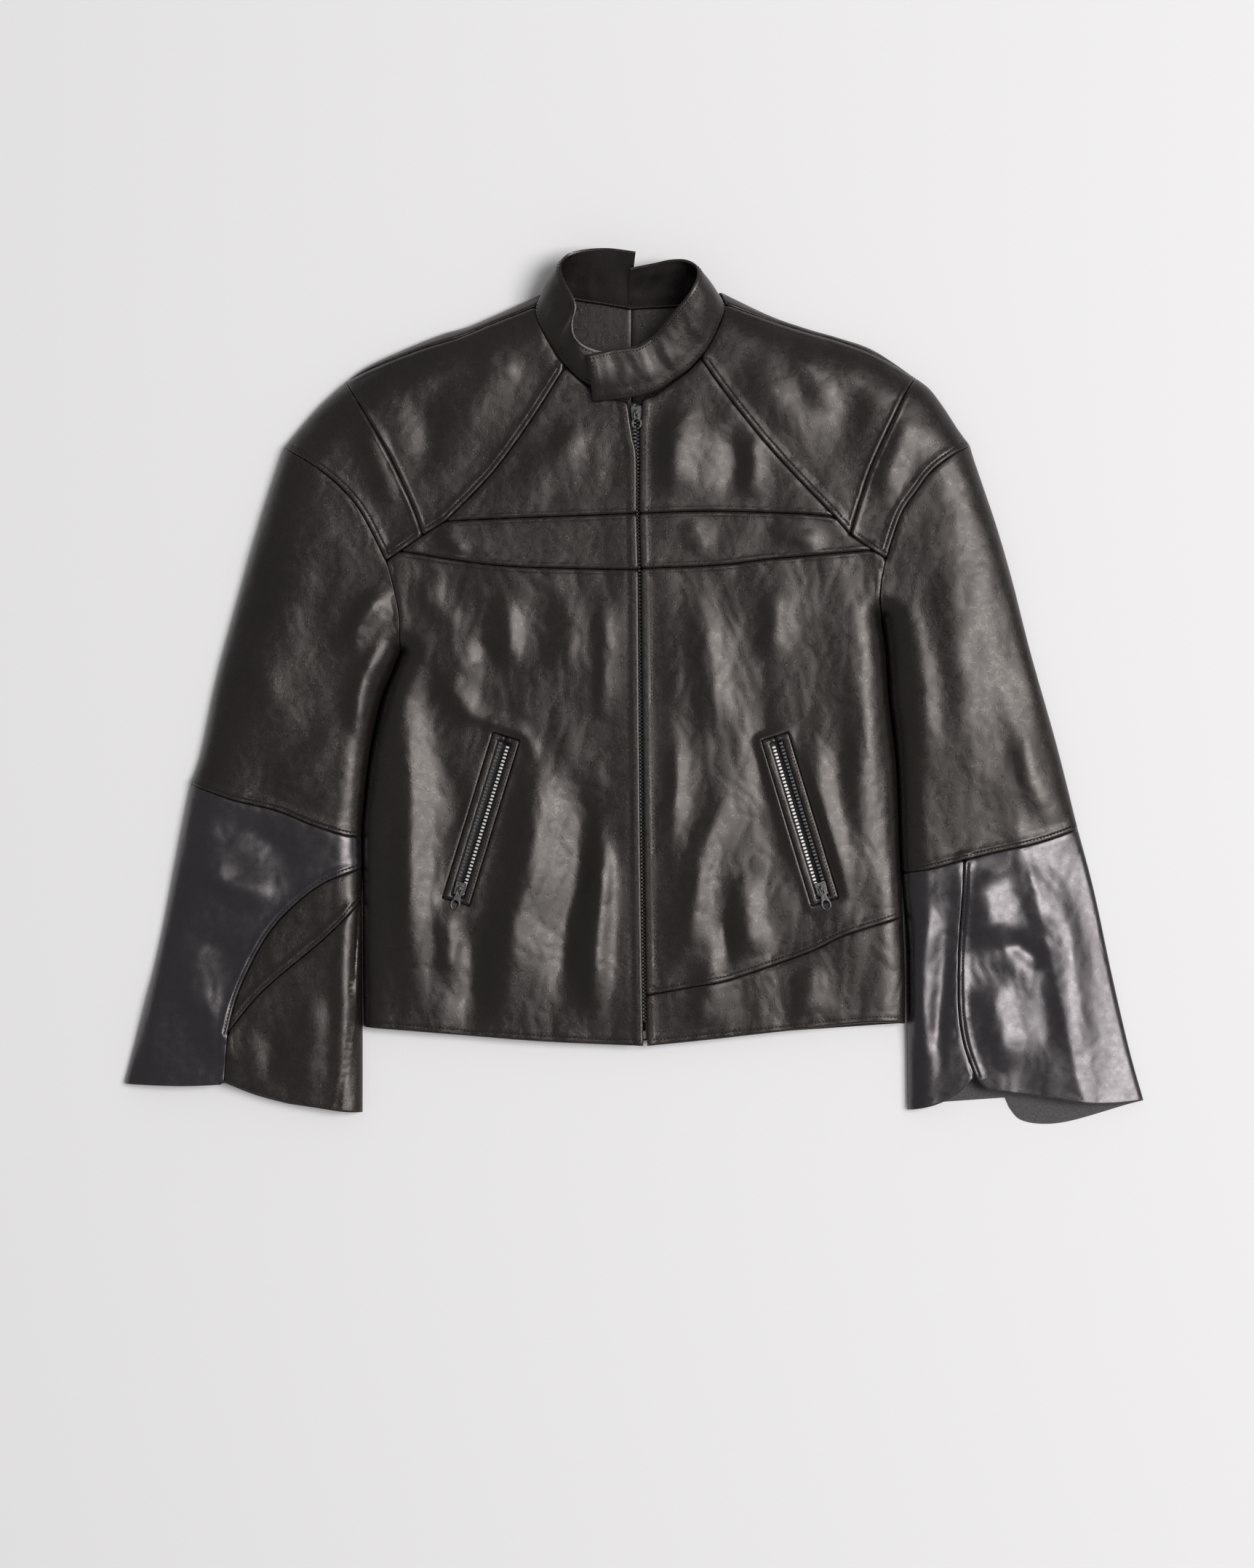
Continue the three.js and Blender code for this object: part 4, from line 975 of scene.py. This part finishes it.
def make_band(name, tab=None):
    """A collar band: columns run along it, rows from its seam up to its free edge.

    Where the band ends in a tab, the part before the hinge is a piece of its own.
    """
    base, top = (curve(line, 0.5) for line in COLLAR[name])
    columns = int(max(len(base), len(top)) / 4)
    share = np.linspace(0, 1, columns + 1)
    base, top = (np.stack([np.interp(share, np.linspace(0, 1, len(line)), line[:, k]) for k in range(3)], 1)
                 for line in (base, top))
    along = np.gradient(0.5 * (base + top), axis=0)
    normal = unit(np.cross(along, top - base))
    height = np.linalg.norm(top - base, axis=1)
    run = np.concatenate([[0], np.cumsum(np.linalg.norm(np.diff(0.5 * (base + top), axis=0), axis=1))])
    rows = np.concatenate([[0, 0.02, 0.045], np.linspace(0.08, 0.92, COLLAR_ROWS - 5), [0.955, 0.98, 1]])

    def surface(i, v):
        """A point at column i, which may lie between two, and the share v of the band's height."""
        low = np.minimum(np.floor(i).astype(int), columns - 1)
        part = (i - low)[:, None]

        def mix(values):
            return values[low] * (1 - part) + values[low + 1] * part

        tall = np.interp(i, np.arange(columns + 1), height)
        far = np.interp(i, np.arange(columns + 1), run)
        free, sewn = (1 - v) * tall, v * tall
        end = far if tab else run[-1] - far
        lift = relief("hem", free) + relief("hem", sewn) + relief("hem", end)
        lift += 2.2 * np.sin(math.pi * v)
        wave = [noise.noise(Vector((a / 17, b / 38, 4.2))) for a, b in zip(far, sewn)]
        crease = [noise.noise(Vector((a / 7, b / 16, 9.9))) for a, b in zip(far, sewn)]
        lift += (1.5 * np.array(wave) + 0.5 * np.array(crease)) * np.sin(math.pi * np.clip(v, 0.12, 1))
        return mix(base) * (1 - v)[:, None] + mix(top) * v[:, None] + mix(normal) * lift[:, None], mix(normal)

    grid_i, grid_v = (values.ravel() for values in np.meshgrid(np.arange(columns + 1.0), rows, indexing="ij"))
    vertices, _ = surface(grid_i, grid_v)
    count = len(rows)
    edge = np.minimum(grid_v, 1 - grid_v) * np.interp(grid_i, np.arange(columns + 1), height)
    hinge = int(np.linalg.norm(base[:, :2] - HINGE, axis=1).argmin()) if tab else 0
    for piece_name, first, last in ((tab, 0, hinge), (name, hinge, columns)):
        if first == last:
            continue
        mine = slice(first * count, (last + 1) * count)
        faces = [(i * count + j, (i + 1) * count + j, (i + 1) * count + j + 1, i * count + j + 1)
                 for i in range(last - first) for j in range(count - 1)]
        piece = mesh_piece(f"{piece_name}_leather", vertices[mine], faces, [GRAINED])
        # Painted highlight along the band's seam and free edge.
        mark_painted_edge_highlight(piece, np.exp(-((edge[mine] / 1.4) ** 2)))
        thicken(piece, COLLAR_THICKNESS)
        sharpen(piece)
        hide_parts(piece_name)
        if piece_name == tab:
            bend_tab(piece)
        else:
            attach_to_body(piece, "jacket_body")

    def sew(i, v, ahead_i, ahead_v):
        centre, outward = surface(i, v)
        direction = surface(ahead_i, ahead_v)[0] - centre
        direction /= np.linalg.norm(direction, axis=1)[:, None] + 1e-9
        for group, which in (("tab", i < hinge), ("body", i >= hinge)):
            if which.any():
                add_stitches(group, centre[which], direction[which], outward[which])

    places = np.arange(COLLAR_STITCH - 1 if tab else 2, run[-1] - 2, STITCH_PITCH)
    i = np.interp(places, run, np.arange(columns + 1))
    tall = np.interp(i, np.arange(columns + 1), height)
    for v in (COLLAR_STITCH / tall, 1 - COLLAR_STITCH / tall):
        sew(i, v, np.minimum(i + 0.3, columns - 0.001), v)
    if tab:
        v = np.arange(6, height[0] - 5, STITCH_PITCH) / height[0]
        i = np.full(len(v), np.interp(COLLAR_STITCH, run, np.arange(columns + 1)))
        sew(i, v, i, v + 0.02)


make_band("collar_right_half")
make_band("collar_left_half", tab="collar_tab")


# ---- Zips, each in a frame of its own: x across, y up the zip and z out of the leather ----
def front_frame(x, y, sideways):
    out = Vector((0, -FRONT_SLOPE, 1)).normalized()
    up = Vector((sideways, 1, FRONT_SLOPE)).normalized()
    across = up.cross(out)
    turn = Matrix((across, up, out)).transposed().to_4x4()
    return Matrix.Translation((x, y, front_plane(y))) @ turn


ZIP_SIDEWAYS = (ZIP_TOP[0] - ZIP_BOTTOM[0]) / (ZIP_TOP[1] - ZIP_BOTTOM[1])
ZIP_LENGTH = ZIP_TOP[1] - ZIP_BOTTOM[1]
FRAMES = {"front": front_frame(*ZIP_TOP, ZIP_SIDEWAYS)}
for one, way in (("right", -1), ("left", 1)):
    FRAMES[one] = front_frame(BODY_MIDDLE + way * POCKET_X, POCKET_Y, -way * math.tan(POCKET_TILT))


def in_frame(frame, vertices):
    matrix = np.array(FRAMES[frame])
    return np.asarray(vertices, float) @ matrix[:3, :3].T + matrix[:3, 3]


BOX_FACES = [(0, 3, 2, 1), (4, 5, 6, 7), (0, 1, 5, 4), (1, 2, 6, 5), (2, 3, 7, 6), (3, 0, 4, 7)]


def wedge(x0, x1, half0, half1, y, z0, z1):
    """A small block whose half width changes from its end at x0 to its end at x1."""
    flat = [(x0, y - half0), (x1, y - half1), (x1, y + half1), (x0, y + half0)]
    return [(*p, z0) for p in flat] + [(*p, z1) for p in flat]


def tooth_row(name, frame, side, inner, tops, from_y, to_y, shift, material):
    """A row of teeth: each has a head at its inner end and legs round the tape."""
    vertices, faces = [], []
    for y in np.arange(from_y - TOOTH_PITCH / 2 - shift, to_y, -TOOTH_PITCH):
        head = wedge(side * (inner + 0.1), side * (inner + 1.0), 0.62, 0.95, y, tops - 1.5, tops - 0.3)
        legs = wedge(side * (inner + 1.0), side * (inner + 3.0), 0.95, 0.75, y, tops - 1.8, tops)
        for block in (head, legs):
            first = len(vertices)
            vertices += block
            order = BOX_FACES if side > 0 else [face[::-1] for face in BOX_FACES]
            faces += [tuple(first + i for i in face) for face in order]
    piece = mesh_piece(name, in_frame(frame, vertices), faces, [material], False)
    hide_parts(name.replace("_metal", ""))
    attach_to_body(piece, "jacket_body")


ROW_TOP = {"front": -3.5, "pocket": -1.4}
POCKET_REACH = POCKET_LENGTH / 2 - 5
for one, way in (("right", -1), ("left", 1)):
    tooth_row(f"front_zip_{one}_teeth_metal", "front", way, 0.0, ROW_TOP["front"], 0, -ZIP_LENGTH + 22,
              TOOTH_PITCH / 2 * (way > 0), GUNMETAL)
    for place, turn in (("inner", -way), ("outer", way)):
        bright = place == "inner"
        tooth_row(f"{one}_pocket_{place}_teeth_metal", one, turn, 2.0, ROW_TOP["pocket"],
                  POCKET_REACH - 1, 1 - POCKET_REACH, TOOTH_PITCH / 2 * bright,
                  NICKEL if bright else GUNMETAL)


# ---- Welts: a rolled strip of leather on each side of a pocket's mouth ----
WELT_TOP = 0.2
WELT_MOUTH_DEPTH = -1.7
WELT_SEAM_DEPTH = -0.9
WELT_ROLL = 2.2


def make_welt(side, place):
    way = (1 if side == "right" else -1) * (1 if place == "inner" else -1)
    half, mouth = POCKET_WIDTH / 2 - 0.25, POCKET_MOUTH / 2
    end = POCKET_LENGTH / 2 - 0.25
    corners = [(0.1, end), (half, end), (half, -end), (0.1, -end), (0.1, 5 - end), (mouth, 5 - end),
               (mouth, end - 5), (0.1, end - 5), (0.1, end)]
    lines = [curve([(way * x0, y0), (way * x1, y1)], 1.6)
             for (x0, y0), (x1, y1) in zip(corners, corners[1:])]
    outline = closed_outline(lines)
    flat, faces = flat_mesh(outline, grid=1.5, rings=(0.3, 0.8, 1.4))
    d = distance_to(flat, closed(outline))
    waves = np.array([noise.noise(Vector((x / 5, y / 11, 2.2))) for x, y in flat])
    edge_depth = np.where(np.abs(flat[:, 0]) < 0.6 * half, WELT_MOUTH_DEPTH, WELT_SEAM_DEPTH)
    z = edge_depth + 0.25 * waves + (WELT_TOP - edge_depth) * rise(d, WELT_ROLL)
    name = f"{side}_pocket_{place}_welt"
    piece = mesh_piece(f"{name}_leather", in_frame(side, np.column_stack([flat, z])), faces, [GRAINED])
    # Painted highlight along the welt's rolled edges.
    mark_painted_edge_highlight(piece, np.exp(-((d / 0.8) ** 2)))
    thicken(piece, 0.9)
    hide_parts(name)
    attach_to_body(piece, "jacket_body")


for one in SEAMS:
    make_welt(one, "inner")
    make_welt(one, "outer")


# ---- Sliders and pulls ----
def rounded_prism(splines, thickness, edge):
    """Vertices and faces of a flat shape with rounded edges: the first spline is its outside."""
    data = bpy.data.curves.new("shape", "CURVE")
    data.dimensions = "2D"
    data.fill_mode = "BOTH"
    data.extrude = thickness / 2 - edge
    data.bevel_depth = edge
    data.bevel_resolution = 2
    data.offset = -edge
    for points in splines:
        spline = data.splines.new("POLY")
        spline.points.add(len(points) - 1)
        for point, (x, y) in zip(spline.points, points):
            point.co = (x, y, 0, 1)
        spline.use_cyclic_u = True
    shape = bpy.data.objects.new("shape", data)
    bpy.context.scene.collection.objects.link(shape)
    mesh = bpy.data.meshes.new_from_object(shape)
    vertices = np.array([v.co[:] for v in mesh.vertices])
    faces = [tuple(face.vertices) for face in mesh.polygons]
    bpy.data.objects.remove(shape)
    bpy.data.curves.remove(data)
    bpy.data.meshes.remove(mesh)
    return vertices, faces


def merged(parts):
    vertices, faces, first = [], [], 0
    for points, polygons in parts:
        vertices.append(points)
        faces += [tuple(first + i for i in face) for face in polygons]
        first += len(points)
    return np.vstack(vertices), faces


PULL_AXIS = 1.7
SLIDER_LENGTH = 13
PLATE_THICKNESS = 1.3


def slider_parts(y, plate_top, row_top):
    """Top and bottom plates, narrower where the closed teeth leave, and the arch for the pull."""
    low, high = y - SLIDER_LENGTH / 2, y + SLIDER_LENGTH / 2
    plate = [(-5.2, high - 1.5), (-4.4, high), (-1, high - 0.4), (0, high - 1.2), (1, high - 0.4),
             (4.4, high), (5.2, high - 1.5), (4.9, y - 1), (4.1, low + 0.6), (3.4, low), (-3.4, low),
             (-4.1, low + 0.6), (-4.9, y - 1)]
    parts = []
    for top in (plate_top, row_top - 2.2):
        vertices, faces = rounded_prism([plate], PLATE_THICKNESS, 0.35)
        parts.append((vertices + (0, 0, top - PLATE_THICKNESS / 2), faces))
    arch = [(-2.9, plate_top - 0.3), (-2.9, PULL_AXIS + 1.1), (-2.1, PULL_AXIS + 1.9),
            (2.1, PULL_AXIS + 1.9), (2.9, PULL_AXIS + 1.1), (2.9, plate_top - 0.3)]
    hole = [(-1.6, PULL_AXIS - 1), (1.6, PULL_AXIS - 1), (1.6, PULL_AXIS + 0.7), (1, PULL_AXIS + 1.1),
            (-1, PULL_AXIS + 1.1), (-1.6, PULL_AXIS + 0.7)]
    vertices, faces = rounded_prism([arch, hole], 1.6, 0.25)
    parts.append((vertices[:, [2, 0, 1]] + (0, y, 0), faces))
    return parts


def pull_parts(y, length):
    neck, wide = 2.4, 4.6
    middle = wide - length
    outer = [(-neck, 0.6), (-neck, -5.2), (-2.7, -7), (-3.9, middle + 4), (-wide, middle + 0.4),
             (-3.3, middle - 3.2), (0, -length), (3.3, middle - 3.2), (wide, middle + 0.4),
             (3.9, middle + 4), (2.7, -7), (neck, -5.2), (neck, 0.6)]
    outer = [tuple(p) for p in curve(outer, 0.5)[:-1]]
    loop = [(-1.3, -0.5), (1.3, -0.5), (1.3, -4.6), (-1.3, -4.6)]
    reach = min(4, (length - 9) / 2 + 1)
    eye = [(2.9 * math.cos(t), middle + 0.3 + reach * math.sin(t))
           for t in np.linspace(0, 2 * math.pi, 24, endpoint=False)]
    vertices, faces = rounded_prism([outer, loop, eye], PLATE_THICKNESS, 0.4)
    return [(vertices + (0, y, PULL_AXIS), faces)]


def metal_piece(name, frame, parts, body):
    vertices, faces = merged(parts)
    piece = mesh_piece(f"{name}_metal", in_frame(frame, vertices), faces, [GUNMETAL])
    piece.data.set_sharp_from_angle(angle=math.radians(50))
    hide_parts(name)
    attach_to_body(piece, body)


# Frame, place along the zip, top of the slider's plate, top of the teeth and length of the pull.
SLIDERS = {"front": ("front", -9, -1.9, ROW_TOP["front"], 15)}
for one in SEAMS:
    SLIDERS[f"{one}_pocket"] = (one, SLIDER_LENGTH / 2 - POCKET_REACH + 1, 0.4, ROW_TOP["pocket"], 20)
for one, (frame_name, at, plate_top, row_top, length) in SLIDERS.items():
    metal_piece(f"{one}_slider", frame_name, slider_parts(at, plate_top, row_top), f"{one}_slider_body")
    metal_piece(f"{one}_pull", frame_name, pull_parts(at, length), f"{one}_pull_body")

# ---- Thread, by what it moves with ----
for group, parts in threads.items():
    piece = mesh_piece(f"{group}_stitching", *stitch_mesh(parts), [THREAD])
    if group == "body":
        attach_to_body(piece, "jacket_body")
    elif group == "tab":
        bend_tab(piece)
    else:
        attach(piece, *group.split("_"))

# ---- CAD nodes that stay, with their materials ----
KEPT = {"tape": TAPE, "facing": SUEDE, "bag": SUEDE, "pin": GUNMETAL, "box": GUNMETAL, "snap": NICKEL}
for node, thing in frame["nodes"].items():
    for word, material in KEPT.items():
        if word in node and thing.data:
            thing.data.materials.clear()
            thing.data.materials.append(material)


# ---- Floor and light ----
FLOOR_REACH = 60000
FLOOR_TOP = -0.6


def make_floor():
    material, _, shader = nodes_of("studio_floor")
    shader.inputs["Base Color"].default_value = (0.9, 0.9, 0.905, 1)
    shader.inputs["Roughness"].default_value = 0.95
    corners = [(x * FLOOR_REACH, y * FLOOR_REACH, FLOOR_TOP)
               for x, y in ((-1, -1), (1, -1), (1, 1), (-1, 1))]
    mesh_piece("floor", corners, [(0, 1, 2, 3)], [material], False)


def area_light(name, place, target, size, power, colour):
    data = bpy.data.lights.new(name, "AREA")
    data.shape = "RECTANGLE"
    data.size, data.size_y = size
    data.energy = power
    data.color = colour
    light = bpy.data.objects.new(name, data)
    light.location = place
    light.rotation_euler = (Vector(target) - Vector(place)).to_track_quat("-Z", "Y").to_euler()
    bpy.context.scene.collection.objects.link(light)


make_floor()
area_light("key", (4.2, 0.5, 6.6), (0, 0, 0), (3.5, 3.8), 500, (1.0, 0.985, 0.975))
world = bpy.data.worlds.new("studio")
world.use_nodes = True
world.node_tree.nodes["Background"].inputs["Color"].default_value = (1, 1, 1, 1)
world.node_tree.nodes["Background"].inputs["Strength"].default_value = 0.27
bpy.context.scene.world = world
bpy.context.scene.view_settings.view_transform = "Standard"
